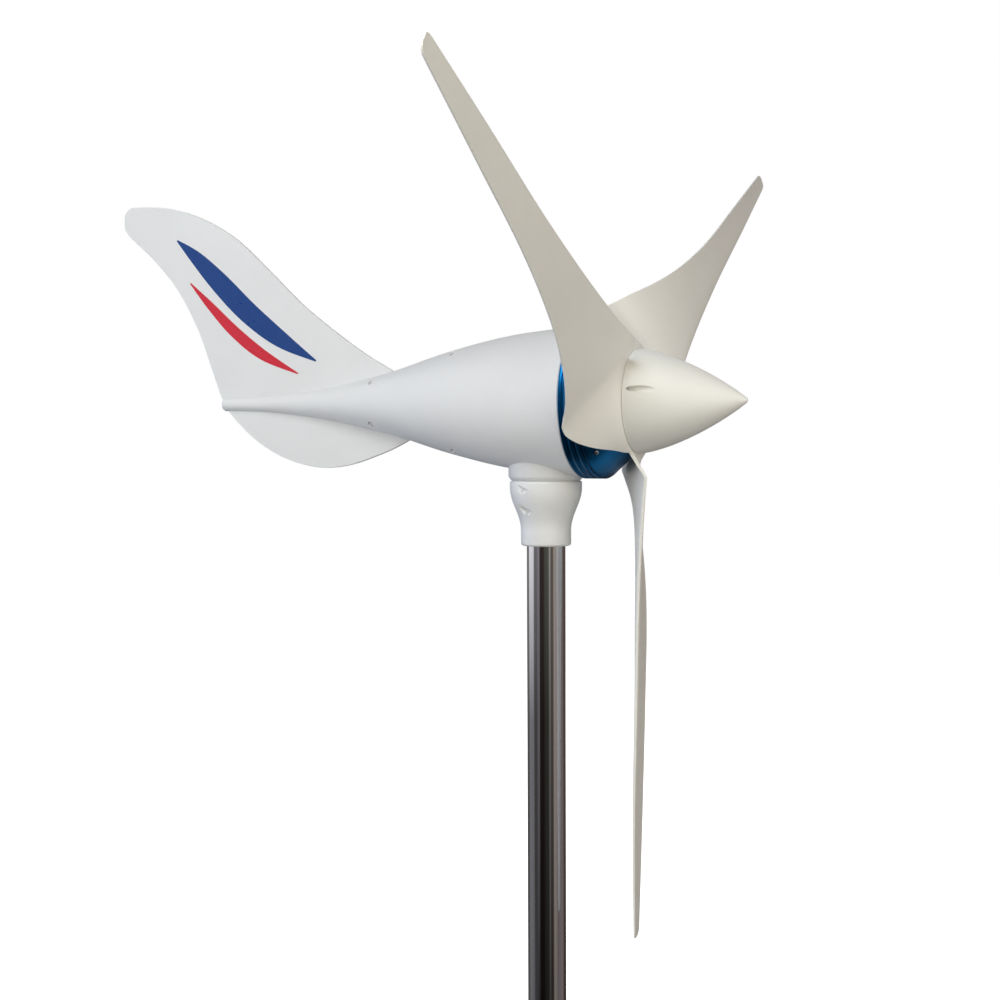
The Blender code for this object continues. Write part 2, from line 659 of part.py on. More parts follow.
def make_nacelle(parent, finishes):
    """Two shells that meet on the plane of the tail fin and are drawn together by four screws."""
    span = 0.10
    for side, sign in (("left", -1), ("right", 1)):
        shell = place(f"nacelle_{side}", nacelle_solid(), finishes["white_plastic"], parent)
        away = sorted((0.5 * GAP * sign, -span * sign))
        cut(shell, block((NACELLE_TAIL - span, away[0], -span), (span, away[1], span)))
        cavity = boolean(shell, nacelle_cavity(), "DIFFERENCE")
        for along, height in NACELLE_SCREWS:
            cut(cavity, rod((along, -span, height), (along, span, height), BOSS_RADIUS, SCREW_ROUND))
        cut(shell, rod((0, 0, -span), (0, 0, -span / 2), COLLAR_RADIUS + GAP, SHELL_ROUND))
        cut(shell, plate(grown(fin_outline(), GAP), FIN_THICKNESS / 2 + GAP))
        for along, height in NACELLE_SCREWS:
            floor = nacelle_screw_floor(along, height)
            if sign < 0:
                cut(shell, rod((along, -span, height), (along, floor, height), NACELLE_SCREW[0] + GAP))
                low = floor - OVERSHOOT
                cut(shell, rod((along, low, height), (along, OVERSHOOT, height), hole(NACELLE_SCREW)))
            else:
                end = NACELLE_SCREW_REACH + BOSS_RADIUS / 4
                cut(shell, rod((along, -OVERSHOOT, height), (along, end, height), hole(NACELLE_SCREW)))
    for name, (along, height) in zip(NACELLE_SCREW_NAMES, NACELLE_SCREWS):
        floor = nacelle_screw_floor(along, height)
        seat = (along, floor - GAP, height)
        length = NACELLE_SCREW_REACH - floor
        white = finishes["white_plastic"]
        screw(f"nacelle_screw_{name}", seat, (0, 1, 0), NACELLE_SCREW, length, white, parent)


def nacelle_screw_floor(along, height):
    """The depth in -Y of the floor that a nacelle screw's head stands on."""
    return NACELLE_SCREW_INSET - sqrt(read(NACELLE_STATIONS, along)[0] ** 2 - height**2)


def grown(outline, distance):
    """The outline moved outward along its own normals."""
    turn = sum(a[0] * b[1] - b[0] * a[1] for a, b in zip(outline, outline[1:] + outline[:1]))
    sign = 1 if turn > 0 else -1
    moved = []
    for before, point, after in zip(outline[-1:] + outline[:-1], outline, outline[1:] + outline[:1]):
        along = Vector((after[0] - before[0], after[1] - before[1])).normalized()
        moved.append((point[0] + sign * distance * along.y, point[1] - sign * distance * along.x))
    return moved


def fin_outline():
    upper = spline(FIN_UPPER, 2)
    steps = 4
    tip = []
    for step in range(steps + 1):
        bend = radians(80 + 100 * step / steps)
        tip.append((FIN_TIP[0] + FIN_TIP_RADIUS * cos(bend), FIN_TIP[1] + FIN_TIP_RADIUS * sin(bend)))
    return upper + tip + spline(FIN_TRAILING, 2)[1:] + spline(FIN_LOWER, 2)


def make_tail_fin(parent, finishes):
    fin = place("tail_fin", plate(fin_outline(), FIN_THICKNESS / 2), finishes["white_plastic"], parent)
    edge = fin.modifiers.new("edge", "BEVEL")
    edge.width = FIN_EDGE
    edge.segments = 1
    edge.limit_method = "ANGLE"
    edge.angle_limit = radians(60)
    for along, height in NACELLE_SCREWS[:2]:
        ends = ((along, side * OVERSHOOT, height) for side in (-1, 1))
        cut(fin, rod(*ends, BOSS_RADIUS + GAP, SMALL_ROUND))


def housing_profile():
    """The housing's section, from the rear of its spigot round to the same point."""
    spigot_rear, spigot_radius = SPIGOT
    outline = [(HOUSING_INNER, spigot_rear), (spigot_radius, spigot_rear), (spigot_radius, HOUSING_REAR)]
    outline.append((HOUSING_RADIUS - RIM_BEVEL[0], HOUSING_REAR))
    outline.append((HOUSING_RADIUS, HOUSING_REAR + RIM_BEVEL[1]))
    for number in range(GROOVE_COUNT):
        centre = GROOVE_START + number * GROOVE_PITCH
        low, high = centre - GROOVE_WIDTH / 2, centre + GROOVE_WIDTH / 2
        outline += [(HOUSING_RADIUS, low), (HOUSING_RADIUS - GROOVE_DEPTH, low + GROOVE_SLANT)]
        outline += [(HOUSING_RADIUS - GROOVE_DEPTH, high - GROOVE_SLANT), (HOUSING_RADIUS, high)]
    outline += [(HOUSING_RADIUS, CONE_START), (housing_radius(HOUSING_FRONT), HOUSING_FRONT)]
    seat_rear = MAIN_BEARING_STATIONS["front"] - MAIN_BEARING_WIDTH / 2 - BEARING_BOSS_MARGIN
    seat_front = MAIN_BEARING_STATIONS["front"] + MAIN_BEARING_WIDTH / 2 + GAP
    seat_radius = MAIN_BEARING_OUTER + GAP
    outline += [(SHAFT_HOLE_RADIUS, HOUSING_FRONT), (SHAFT_HOLE_RADIUS, seat_front)]
    outline += [(seat_radius, seat_front), (seat_radius, seat_rear)]
    wall_rear = HOUSING_FRONT - HOUSING_FRONT_WALL
    inner_front = HOUSING_INNER - CONE_SLOPE * (wall_rear - CONE_START)
    outline += [(BEARING_BOSS_RADIUS, seat_rear), (BEARING_BOSS_RADIUS, wall_rear)]
    outline += [(inner_front, wall_rear), (HOUSING_INNER, CONE_START)]
    return outline


def make_front_housing(parent, finishes):
    shape = turned(housing_profile(), "X", SHELL_ROUND)
    housing = place("front_housing", shape, finishes["blue_metal"], parent)
    lean = Vector((CONE_SLOPE, 1.0)).normalized()
    for number in range(HOUSING_SCREW_COUNT):
        direction = 2 * pi * (number + 0.5) / HOUSING_SCREW_COUNT
        outward = around(direction, lean.y, lean.x)
        surface = around(direction, housing_radius(HOUSING_SCREW_STATION), HOUSING_SCREW_STATION)
        inner = surface - outward * 1.4 * OVERSHOOT
        cut(housing, rod(surface + outward * OVERSHOOT, inner, hole(HOUSING_SCREW)))
        seat = surface + outward * GAP
        steel = finishes["machined_steel"]
        screw(f"housing_screw_{number + 1}", seat, -outward, HOUSING_SCREW, 0.0068, steel, parent)


def make_stator(parent, finishes):
    """Laminated ring with teeth that point inward, and one winding that runs through its slots."""
    rear, front = STATOR
    shape = turned(ring(STATOR_BORE, STATOR_OUTER, rear, front), "X")
    core = place("stator_core", shape, finishes["iron"], parent)
    start, end = WINDING_OVERHANG
    middle = (STATOR_BORE + STATOR_YOKE) / 2 + 0.0010
    inner, outer = middle - WINDING_HALF_DEPTH, middle + WINDING_HALF_DEPTH
    turns = turned(ring(inner, outer, front + start, front + end), "X")
    winding = place("stator_winding", turns, finishes["copper"], parent)
    join(winding, turned(ring(inner, outer, rear - end, rear - start), "X"))
    reach = (start + end) / 2
    half_depth = WINDING_HALF_DEPTH - start
    slots, bars = [], []
    for number in range(STATOR_TEETH):
        direction = 2 * pi * (number + 0.5) / STATOR_TEETH
        turn = Matrix.Rotation(direction, 4, "X")
        slot = block(
            (rear - OVERSHOOT, -SLOT_HALF_WIDTH, -STATOR_YOKE),
            (front + OVERSHOOT, SLOT_HALF_WIDTH, -STATOR_BORE + TOOTH_TIP),
        )
        bar = block(
            (rear - reach, -WINDING_HALF_WIDTH, -middle - half_depth),
            (front + reach, WINDING_HALF_WIDTH, -middle + half_depth),
        )
        for shape, group in ((slot, slots), (bar, bars)):
            bmesh.ops.transform(shape, matrix=turn, verts=shape.verts)
            group.append(shape)
    cut(core, merged(*slots))
    join(winding, merged(*bars))


def make_shaft(parent, finishes):
    profile = [
        (0.0, SHAFT_REAR),
        (SHAFT_RADIUS, SHAFT_REAR),
        (SHAFT_RADIUS, HUB_SEAT_START),
        (HUB_SEAT_RADIUS, HUB_SEAT_START),
        (HUB_SEAT_RADIUS, CLAMP_PLATE[1]),
        (THREAD_RADIUS, CLAMP_PLATE[1]),
        (THREAD_RADIUS, SHAFT_FRONT),
        (0.0, SHAFT_FRONT),
    ]
    place("main_shaft", turned(profile, "X", SMALL_ROUND), finishes["machined_steel"], parent)


def make_magnet_rotor(parent, finishes):
    rear, front = STATOR
    bore = SHAFT_RADIUS + GAP
    profile = [
        (bore, rear),
        (CORE_HUB, rear),
        (CORE_HUB, CORE_WEB[0]),
        (CORE_RIM, CORE_WEB[0]),
        (CORE_RIM, rear),
        (CORE_OUTER, rear),
        (CORE_OUTER, front),
        (CORE_RIM, front),
        (CORE_RIM, CORE_WEB[1]),
        (CORE_HUB, CORE_WEB[1]),
        (CORE_HUB, CORE_HUB_FRONT),
        (bore, CORE_HUB_FRONT),
    ]
    place("rotor_core", turned(profile, "X"), finishes["iron"], parent)
    magnets = ring(CORE_OUTER + GAP, MAGNET_OUTER, rear + GAP, front - GAP)
    place("magnet_ring", turned(magnets, "X"), finishes["magnet"], parent)


def make_hub(parent, finishes):
    alloy = finishes["alloy"]
    bore = HUB_SEAT_RADIUS + GAP
    rear_plate = place("hub_rear_plate", turned(ring(bore, HUB_PLATE_RADIUS, *HUB_PLATE), "X"), alloy, parent)
    clamp = place("hub_clamp_plate", turned(ring(bore, CLAMP_PLATE_RADIUS, *CLAMP_PLATE), "X"), alloy, parent)
    nut_rear = CLAMP_PLATE[1] + GAP
    steel = finishes["machined_steel"]
    nut = place("hub_nut", rod((nut_rear, 0, 0), (HUB_NUT_FRONT, 0, 0), HUB_NUT_RADIUS, HEX), steel, parent)
    cut(nut, rod((nut_rear - OVERSHOOT, 0, 0), (SHAFT_FRONT, 0, 0), THREAD_RADIUS + GAP, SMALL_ROUND))
    centre = (ROOT_LEADING + ROOT_TRAILING) / 2
    for blade in range(BLADE_COUNT):
        for side, sign in (("leading", -1), ("trailing", 1)):
            direction = blade * 2 * pi / BLADE_COUNT + centre + sign * BLADE_BOLT_SPREAD
            seat = around(direction, BLADE_BOLT_RING, nut_rear)
            far = around(direction, BLADE_BOLT_RING, HUB_PLATE[0] - OVERSHOOT)
            for piece in (rear_plate, clamp):
                cut(piece, rod(far, seat + Vector((OVERSHOOT, 0, 0)), hole(BLADE_BOLT)))
            length = nut_rear - HUB_PLATE[0] - GAP
            screw(f"blade_bolt_{blade + 1}_{side}", seat, (-1, 0, 0), BLADE_BOLT, length, steel, parent)
        direction = blade * 2 * pi / BLADE_COUNT + SCOOP_DIRECTION
        ends = (around(direction, SPINNER_SCREW_RING, along) for along in (CLAMP_PLATE[0] - GAP, SCOOP_FLOOR))
        cut(clamp, rod(*ends, hole(SPINNER_SCREW)))


def make_spinner(parent, finishes):
    """A thin ogive shell with three screw lugs inside, each reached through a scoop in the outer surface."""
    steps = 8
    nose = SPINNER_BASE + SPINNER_LENGTH
    places = [SPINNER_BASE + SPINNER_LENGTH * (step / steps) ** 0.9 for step in range(steps)]
    outline = [(0.0, SPINNER_BASE)] + [(spinner_radius(along), along) for along in places]
    outline += [(spinner_radius(nose - NOSE_FLAT), nose - NOSE_FLAT), (0.0, nose)]
    spinner = place("spinner", turned(outline, "X"), finishes["cream_plastic"], parent)
    rear = SPINNER_BASE - OVERSHOOT
    hollow = [(0.0, rear), (SPINNER_RADIUS - SPINNER_WALL, rear)]
    hollow += [(spinner_radius(along) - SPINNER_WALL, along) for along in places[:-2]]
    hollow.append((0.0, places[-2]))
    hollow = boolean(spinner, turned(hollow, "X"), "DIFFERENCE")
    lug_rear = CLAMP_PLATE[1] + GAP
    for number in range(BLADE_COUNT):
        direction = number * 2 * pi / BLADE_COUNT + SCOOP_DIRECTION
        lug = [around(direction, SCOOP_RING, along) for along in (lug_rear, SCOOP_FLOOR, LUG_FRONT)]
        cut(hollow, rod(lug[0], lug[2], LUG_RADIUS, SMALL_ROUND))
        cut(spinner, rod(lug[1], lug[2], SCOOP_RADIUS, SMALL_ROUND))
        ends = (around(direction, SPINNER_SCREW_RING, along) for along in (rear, SCOOP_FLOOR + 2 * GAP))
        cut(spinner, rod(*ends, hole(SPINNER_SCREW)))
        seat = around(direction, SPINNER_SCREW_RING, SCOOP_FLOOR + GAP)
        length = SCOOP_FLOOR - CLAMP_PLATE[0]
        steel = finishes["machined_steel"]
        screw(f"spinner_screw_{number + 1}", seat, (-1, 0, 0), SPINNER_SCREW, length, steel, parent)


def polar(direction, radius, along):
    """A blade-frame point (axial, span, tangential) from a direction measured from the span."""
    return Vector((along, radius * cos(direction), radius * sin(direction)))


def blade_row(leading, trailing, bulge, thickness, shaped, shares):
    """One row of the blade's middle surface. Shaped runs from 0, even thickness, to 1, an airfoil section."""
    root_leading = polar(ROOT_LEADING, ROOT_RING, PALM_CENTRE)
    root_trailing = polar(ROOT_TRAILING, ROOT_RING, PALM_CENTRE)
    chord = (trailing - leading).length
    row = []
    for share in shares:
        point = leading.lerp(trailing, share)
        arc = polar(ROOT_LEADING + (ROOT_TRAILING - ROOT_LEADING) * share, ROOT_RING, PALM_CENTRE)
        point = point + bulge * (arc - root_leading.lerp(root_trailing, share))
        point.x -= shaped * BLADE_CAMBER * chord * 4 * share * (1 - share)
        section = 2.6 * sqrt(share) * (1 - share)
        depth = BLADE_EDGE_THICKNESS + (thickness - BLADE_EDGE_THICKNESS) * section
        row.append((point, (1 - shaped) * PALM_THICKNESS + shaped * depth))
    return row


def palm_row(radius, shares):
    """A row of the flat palm between the hub plates, held clear of its neighbours by a parallel gap."""
    margin = asin(GAP / radius)
    start, end = ROOT_LEADING + margin, ROOT_TRAILING - margin
    return [(polar(start + (end - start) * share, radius, PALM_CENTRE), PALM_THICKNESS) for share in shares]


def blade_rows(shares, skirt_steps, spans):
    rows = [palm_row(radius, shares) for radius in PALM_RINGS]
    station = BLADE_STATIONS[0]
    first = Vector((station[1], station[0], station[2]))
    root_leading = polar(ROOT_LEADING + asin(GAP / ROOT_RING), ROOT_RING, PALM_CENTRE)
    root_thickness = BLADE_THICKNESS[0][1]
    for step in range(skirt_steps + 1):
        share = step / skirt_steps
        leading = root_leading.lerp(first, share)
        radius, direction, along = read(SKIRT_TRAILING, share)
        trailing = polar(direction - asin(GAP / radius), radius, along)
        bulge = (1 - share) ** ROOT_BULGE_POWER
        rows.append(blade_row(leading, trailing, bulge, root_thickness, share**2, shares))
    for span in spans:
        leading_x, leading_t, trailing_x, trailing_t = read(BLADE_STATIONS, span)
        leading = Vector((leading_x, span, leading_t))
        trailing = Vector((trailing_x, span, trailing_t))
        corner = 1 - sqrt(1 - max(0.0, 1 - (ROTOR_RADIUS - span) / TIP_ROUND) ** 2)
        first, last = TIP_CORNERS[0] * corner, 1 - TIP_CORNERS[1] * corner
        leading, trailing = leading.lerp(trailing, first), leading.lerp(trailing, last)
        thickness = read(BLADE_THICKNESS, span)[0]
        rows.append(blade_row(leading, trailing, 0.0, thickness, 1.0, shares))
    return rows


def blade_shape(shares, skirt_steps, spans):
    """Closes the front and rear skins, half the thickness either side of the middle surface."""
    rows = blade_rows(shares, skirt_steps, spans)
    last_row, last_share = len(rows) - 1, len(shares) - 1
    shape = bmesh.new()
    skins = {1: [], -1: []}
    for i, row in enumerate(rows):
        line = {1: [], -1: []}
        for j, (point, depth) in enumerate(row):
            along = rows[min(i + 1, last_row)][j][0] - rows[max(i - 1, 0)][j][0]
            across = row[min(j + 1, last_share)][0] - row[max(j - 1, 0)][0]
            normal = across.cross(along).normalized()
            for side in (1, -1):
                x, s, t = point + normal * (side * depth / 2)
                line[side].append(shape.verts.new((x, t, -s)))
        for side in (1, -1):
            skins[side].append(line[side])
    for i in range(last_row):
        for j in range(last_share):
            for side in (1, -1):
                skin = skins[side]
                shape.faces.new((skin[i][j], skin[i + 1][j], skin[i + 1][j + 1], skin[i][j + 1]))
    front, back = skins[1], skins[-1]
    for i in range(last_row):
        for j in (0, last_share):
            shape.faces.new((front[i][j], front[i + 1][j], back[i + 1][j], back[i][j]))
    for j in range(last_share):
        for i in (0, last_row):
            shape.faces.new((front[i][j], front[i][j + 1], back[i][j + 1], back[i][j]))
    return shape


def make_blades(parent, finishes):
    shares = [(1 - cos(pi * step / 8)) / 2 for step in range(9)]
    spans = (0.105, 0.130, 0.165, 0.210, 0.280, 0.370, 0.470, 0.560, 0.600, 0.607, ROTOR_RADIUS)
    centre = (ROOT_LEADING + ROOT_TRAILING) / 2
    for number in range(BLADE_COUNT):
        shape = blade_shape(shares, 6, spans)
        turn = 2 * pi * number / BLADE_COUNT
        bmesh.ops.transform(shape, matrix=Matrix.Rotation(turn, 4, "X"), verts=shape.verts)
        blade = place(f"blade_{number + 1}", shape, finishes["cream_plastic"], parent)
        for sign in (-1, 1):
            direction = turn + centre + sign * BLADE_BOLT_SPREAD
            ends = (around(direction, BLADE_BOLT_RING, along) for along in (HUB_PLATE[0], CLAMP_PLATE[1]))
            cut(blade, rod(*ends, hole(BLADE_BOLT)))


def main():
    clear_scene()
    finishes = {
        "white_plastic": material("white_plastic", (0.72, 0.73, 0.74), 0.42),
        "cream_plastic": material("cream_plastic", (0.72, 0.71, 0.65), 0.40),
        "blue_metal": material("blue_metal", (0.010, 0.110, 0.260), 0.35, 0.2),
        "steel": material("stainless_steel", (0.60, 0.60, 0.62), 0.12, 1.0),
        "machined_steel": material("machined_steel", (0.55, 0.55, 0.56), 0.30, 1.0),
        "alloy": material("alloy", (0.70, 0.70, 0.70), 0.45, 0.8),
        "iron": material("laminated_iron", (0.22, 0.22, 0.23), 0.50, 0.8),
        "magnet": material("magnet", (0.30, 0.31, 0.33), 0.30, 0.9),
        "copper": material("copper", (0.70, 0.32, 0.16), 0.35, 1.0),
        "carbon": material("carbon", (0.05, 0.05, 0.05), 0.60),
        "black_plastic": material("black_plastic", (0.03, 0.03, 0.03), 0.50),
    }
    hub_centre = (0, 0, SHAFT_HEIGHT)
    mast = pivot("mast_frame", hub_centre)
    head = pivot("yaw_pivot", hub_centre)
    rotor = pivot("rotor_pivot", hub_centre)
    make_mast(mast, finishes)
    make_bearings(mast, head, rotor, finishes)
    make_yaw_head(head, finishes)
    make_brushes(head, finishes)
    make_nacelle(head, finishes)
    make_tail_fin(head, finishes)
    make_front_housing(head, finishes)
    make_stator(head, finishes)
    make_shaft(rotor, finishes)
    make_magnet_rotor(rotor, finishes)
    make_hub(rotor, finishes)
    make_spinner(rotor, finishes)
    make_blades(rotor, finishes)


main()
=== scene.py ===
"""Looks for the small wind turbine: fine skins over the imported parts, node materials and a studio."""

import json
from math import asin, cos, pi, radians, sin, sqrt

import bmesh
import bpy
from mathutils import Matrix, Vector


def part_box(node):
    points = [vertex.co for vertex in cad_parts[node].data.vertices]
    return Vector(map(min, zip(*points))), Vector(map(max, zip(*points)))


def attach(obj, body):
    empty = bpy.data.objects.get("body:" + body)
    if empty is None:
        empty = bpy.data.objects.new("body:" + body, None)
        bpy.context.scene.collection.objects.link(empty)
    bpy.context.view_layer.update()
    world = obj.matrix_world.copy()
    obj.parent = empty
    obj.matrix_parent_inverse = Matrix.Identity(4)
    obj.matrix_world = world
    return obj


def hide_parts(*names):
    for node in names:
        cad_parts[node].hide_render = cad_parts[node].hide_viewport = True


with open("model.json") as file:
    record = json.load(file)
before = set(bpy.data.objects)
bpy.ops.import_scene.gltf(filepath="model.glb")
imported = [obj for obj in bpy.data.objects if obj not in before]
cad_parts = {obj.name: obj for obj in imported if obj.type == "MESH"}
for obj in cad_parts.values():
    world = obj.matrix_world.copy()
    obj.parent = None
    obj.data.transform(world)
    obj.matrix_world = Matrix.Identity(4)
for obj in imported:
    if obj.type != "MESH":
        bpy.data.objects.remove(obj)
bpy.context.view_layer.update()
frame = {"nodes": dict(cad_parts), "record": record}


def middle(node):
    low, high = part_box(node)
    return (low + high) / 2


# The hub frame: its origin is where the shaft axis meets the yaw axis
HUB = Vector((0, 0, middle("main_shaft").z))
GAP = 0.0003
BLADE_COUNT = 3
# How far a cutting shape runs past the face that it opens
PAST = 0.01

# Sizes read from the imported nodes, in the hub frame
TUBE_LOW, TUBE_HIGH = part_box("mast_tube")
SLEEVE_LOW, SLEEVE_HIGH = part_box("mast_sleeve")
HEAD_LOW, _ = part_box("yaw_head")
NACELLE_LOW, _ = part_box("nacelle_left")
HOUSING_LOW, HOUSING_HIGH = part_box("front_housing")
SPINNER_LOW, SPINNER_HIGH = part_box("spinner")
REAR_PLATE_LOW, REAR_PLATE_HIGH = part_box("hub_rear_plate")
CLAMP_PLATE_LOW, CLAMP_PLATE_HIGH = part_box("hub_clamp_plate")

TUBE_RADIUS = TUBE_HIGH.x
TUBE_WALL = 0.0020
TUBE_BOTTOM = TUBE_LOW.z - HUB.z
TUBE_TOP = TUBE_HIGH.z - HUB.z
SLEEVE_TOP = -0.0905
SLEEVE_LEDGE_RADIUS = 0.0390
SLEEVE_BOTTOM = SLEEVE_LOW.z - HUB.z
SLEEVE_TOP_RADIUS = SLEEVE_HIGH.x
SLEEVE_FOOT_RADIUS = 0.0289
SLEEVE_NECK = (-0.0980, -0.1470)
SLEEVE_INNER = 0.0338
SLEEVE_LIP = 0.0018
SLEEVE_FOOT_ROUND = 0.0030
SLEEVE_SCREW_LENGTH = 0.0030
SLEEVE_SCREW_DIRECTION = radians(-110)
SLEEVE_SCREW_HEIGHTS = (-0.1017, -0.1266)
RECESS_LEAN = radians(18)
RECESS_DIVE = radians(65)
RECESS_RADIUS = 0.0130
RECESS_END = (0.0036, 0.0036)
RECESS_RUN = 0.0400
SCREW_FLOOR = 0.0029

COLLAR_RADIUS = 0.0430
COLLAR_FOOT_RADIUS = 0.0408
COLLAR_BOTTOM = HEAD_LOW.z - HUB.z
COLLAR_TOP = -0.0600
COLUMN = (0.0330, -0.0345)
END_PLATE = (0.0340, 0.0400)
END_PLATE_RADIUS = 0.0745
HEAD_WEB = ((0.0100, -0.0260, -0.0750), (0.0370, 0.0260, -0.0370))
YAW_SEATS = ((0.0263, -0.0702), (0.0220, -0.0518))
SHAFT_SEAT = (0.0178, 0.0362, 0.0480)
BOSS_RADIUS = 0.0240
SHAFT_HOLE = 0.0100

NACELLE_STATIONS = (
    (-0.4300, 0.0080),
    (-0.3600, 0.0104),
    (-0.2800, 0.0200),
    (-0.2000, 0.0366),
    (-0.1200, 0.0595),
    (-0.0400, 0.0768),
    (0.0490, 0.0860),
)
NACELLE_TIP = ((0.0, 0.0), (0.0045, 0.0003), (0.0066, 0.0016))
NACELLE_RIM = 0.0012
NACELLE_WALL = 0.0030
CAVITY_TAIL = -0.3050
NACELLE_SCREWS = {
    "tail_upper": (-0.216, 0.025),
    "tail_lower": (-0.216, -0.025),
    "body_upper": (-0.105, 0.0565),
    "body_lower": (-0.105, -0.0565),
}
NACELLE_SCREW_INSET = 0.0034
NACELLE_SCREW_REACH = 0.0095
NACELLE_SCREW_HOLE = 0.0110
NACELLE_BOSS = 0.0060

HOUSING_RADIUS = (HOUSING_HIGH.z - HOUSING_LOW.z) / 2
HOUSING_REAR = 0.0493
HOUSING_FRONT = HOUSING_HIGH.x
HOUSING_INNER = 0.0783
CONE_START = 0.0742
CONE_SLOPE = 0.87
SPIGOT = (HOUSING_LOW.x, 0.0820)
GROOVES = (0.0550, 0.0628, 0.0706)
GROOVE_WIDTH = 0.0034
GROOVE_DEPTH = 0.0020
HOUSING_REAR_ROUND = (0.0010, 0.0012)
HOUSING_FRONT_WALL = 0.0045
HOUSING_SEAT = (0.0865, 0.0983)
HOUSING_SCREW_STATION = 0.0830
HOUSING_SCREW_HOLE = 0.014
HOUSING_SCREW_LENGTH = 0.0068

PLATE_BORE = 0.0083
BOLT_RING = 0.0400
BOLT_SPREAD = radians(25)
PALM_CENTRE = 0.1110
PALM_THICKNESS = 0.0040

SPINNER_BASE = SPINNER_LOW.x
SPINNER_LENGTH = SPINNER_HIGH.x - SPINNER_LOW.x
SPINNER_RADIUS = (SPINNER_HIGH.z - SPINNER_LOW.z) / 2
SPINNER_WALL = 0.0018
OGIVE_LENGTH = 0.1275
OGIVE_POWERS = (1.45, 0.92)
NOSE_BALL = 0.0040
SCOOP_FLOOR = 0.1180
SCOOP_RING = 0.0545
SCOOP_RADIUS = 0.0042
SCOOP_DIRECTION = radians(17)
SPINNER_SCREW_RING = 0.0545
LUG = (0.0062, 0.1650)

# Fasteners, each as head radius, head height and shank radius
SLEEVE_SCREW = (0.0020, 0.0012, 0.0010)
NACELLE_SCREW = (0.0029, 0.0022, 0.0016)
HOUSING_SCREW = (0.0029, 0.0019, 0.0015)
SPINNER_SCREW = (0.0021, 0.0016, 0.0010)
BLADE_BOLT = (0.0050, 0.0040, 0.0027)

# Blade: directions about the shaft are measured from the blade's own span. A station is the distance from
# the shaft axis, then the axial and tangential place of the leading edge and of the trailing edge.
ROTOR_RADIUS = 0.610
ROOT_RING = 0.0610
ROOT_LEADING = radians(-22)
ROOT_TRAILING = radians(98)
PALM_RINGS = (0.0180, 0.0280, 0.0380, 0.0480, 0.0585)
ROOT_BULGE_POWER = 1.4
# The skirt's trailing edge from root to corner: share of the way, distance from the shaft, direction and
# axial place
SKIRT_TRAILING = (
    (0.00, 0.0610, radians(98.0), 0.1110),
    (0.15, 0.0680, radians(83.0), 0.1020),
    (0.30, 0.0755, radians(74.5), 0.0935),
    (0.50, 0.0895, radians(64.0), 0.0810),
    (0.70, 0.1010, radians(56.5), 0.0712),
    (0.85, 0.1085, radians(50.8), 0.0651),
    (1.00, 0.1137, radians(45.1), 0.0643),
)
BLADE_STATIONS = (
    (0.085, 0.1303, -0.0252, 0.0658, 0.0793),
    (0.120, 0.1265, -0.0238, 0.0812, 0.0755),
    (0.170, 0.1219, -0.0213, 0.0940, 0.0651),
    (0.240, 0.1176, -0.0176, 0.1031, 0.0521),
    (0.340, 0.1140, -0.0130, 0.1068, 0.0379),
    (0.470, 0.1105, -0.0108, 0.1070, 0.0274),
    (0.610, 0.1087, -0.0040, 0.1066, 0.0160),
)
BLADE_THICKNESS = ((0.085, 0.0075), (0.170, 0.0085), (0.340, 0.0060), (0.470, 0.0045), (0.610, 0.0026))
BLADE_EDGE_THICKNESS = 0.0018
BLADE_CAMBER = 0.03
# Brings the section curve, sqrt(share) * (1 - share), to a peak of one
SECTION_PEAK = 2.6
# Rows along the blade: the first span, the step, how many, and the closer rows that round the tip
SPAN_START = 0.095
SPAN_STEP = 0.0125
SPAN_COUNT = 41
TIP_SPANS = (0.6020, 0.6065, ROTOR_RADIUS)
TIP_ROUND = 0.0100
TIP_CORNERS = (0.12, 0.40)

# Tail fin outline in the plane y = 0, as (x, z)
FIN_UPPER = (
    (-0.182, 0.026),
    (-0.194, 0.037),
    (-0.242, 0.065),
    (-0.313, 0.116),
    (-0.368, 0.166),
    (-0.412, 0.204),
    (-0.460, 0.231),
    (-0.507, 0.246),
    (-0.548, 0.2502),
)
FIN_TIP = (-0.563, 0.2360)
FIN_TIP_RADIUS = 0.0145
FIN_TRAILING = (
    (-0.5775, 0.2360),
    (-0.5768, 0.2240),
    (-0.5680, 0.2125),
    (-0.5340, 0.1833),
    (-0.4990, 0.1450),
    (-0.4695, 0.0950),
    (-0.4495, 0.0450),
    (-0.4350, 0.0080),
    (-0.4310, 0.0020),
)
FIN_LOWER = (
    (-0.429, -0.004),
    (-0.412, -0.022),
    (-0.383, -0.046),
    (-0.345, -0.066),
    (-0.298, -0.077),
    (-0.255, -0.074),
    (-0.205, -0.058),
    (-0.174, -0.0435),
    (-0.160, -0.034),
)
FIN_THICKNESS = 0.0055
FIN_EDGE = 0.0019

AXES = {"X": Matrix.Rotation(pi / 2, 4, "Y"), "Z": Matrix.Identity(4)}
FINE = 120
MEDIUM = 64
SMALL = 32


# Shapes, all in the hub frame


def moved(shape, matrix):
    bmesh.ops.transform(shape, matrix=matrix, verts=shape.verts)
    return shape


def as_mesh(name, shape):
    mesh = bpy.data.meshes.new(name)
    shape.to_mesh(mesh)
    shape.free()
    return mesh


def linked(name, data):
    obj = bpy.data.objects.new(name, data)
    bpy.context.scene.collection.objects.link(obj)
    return obj


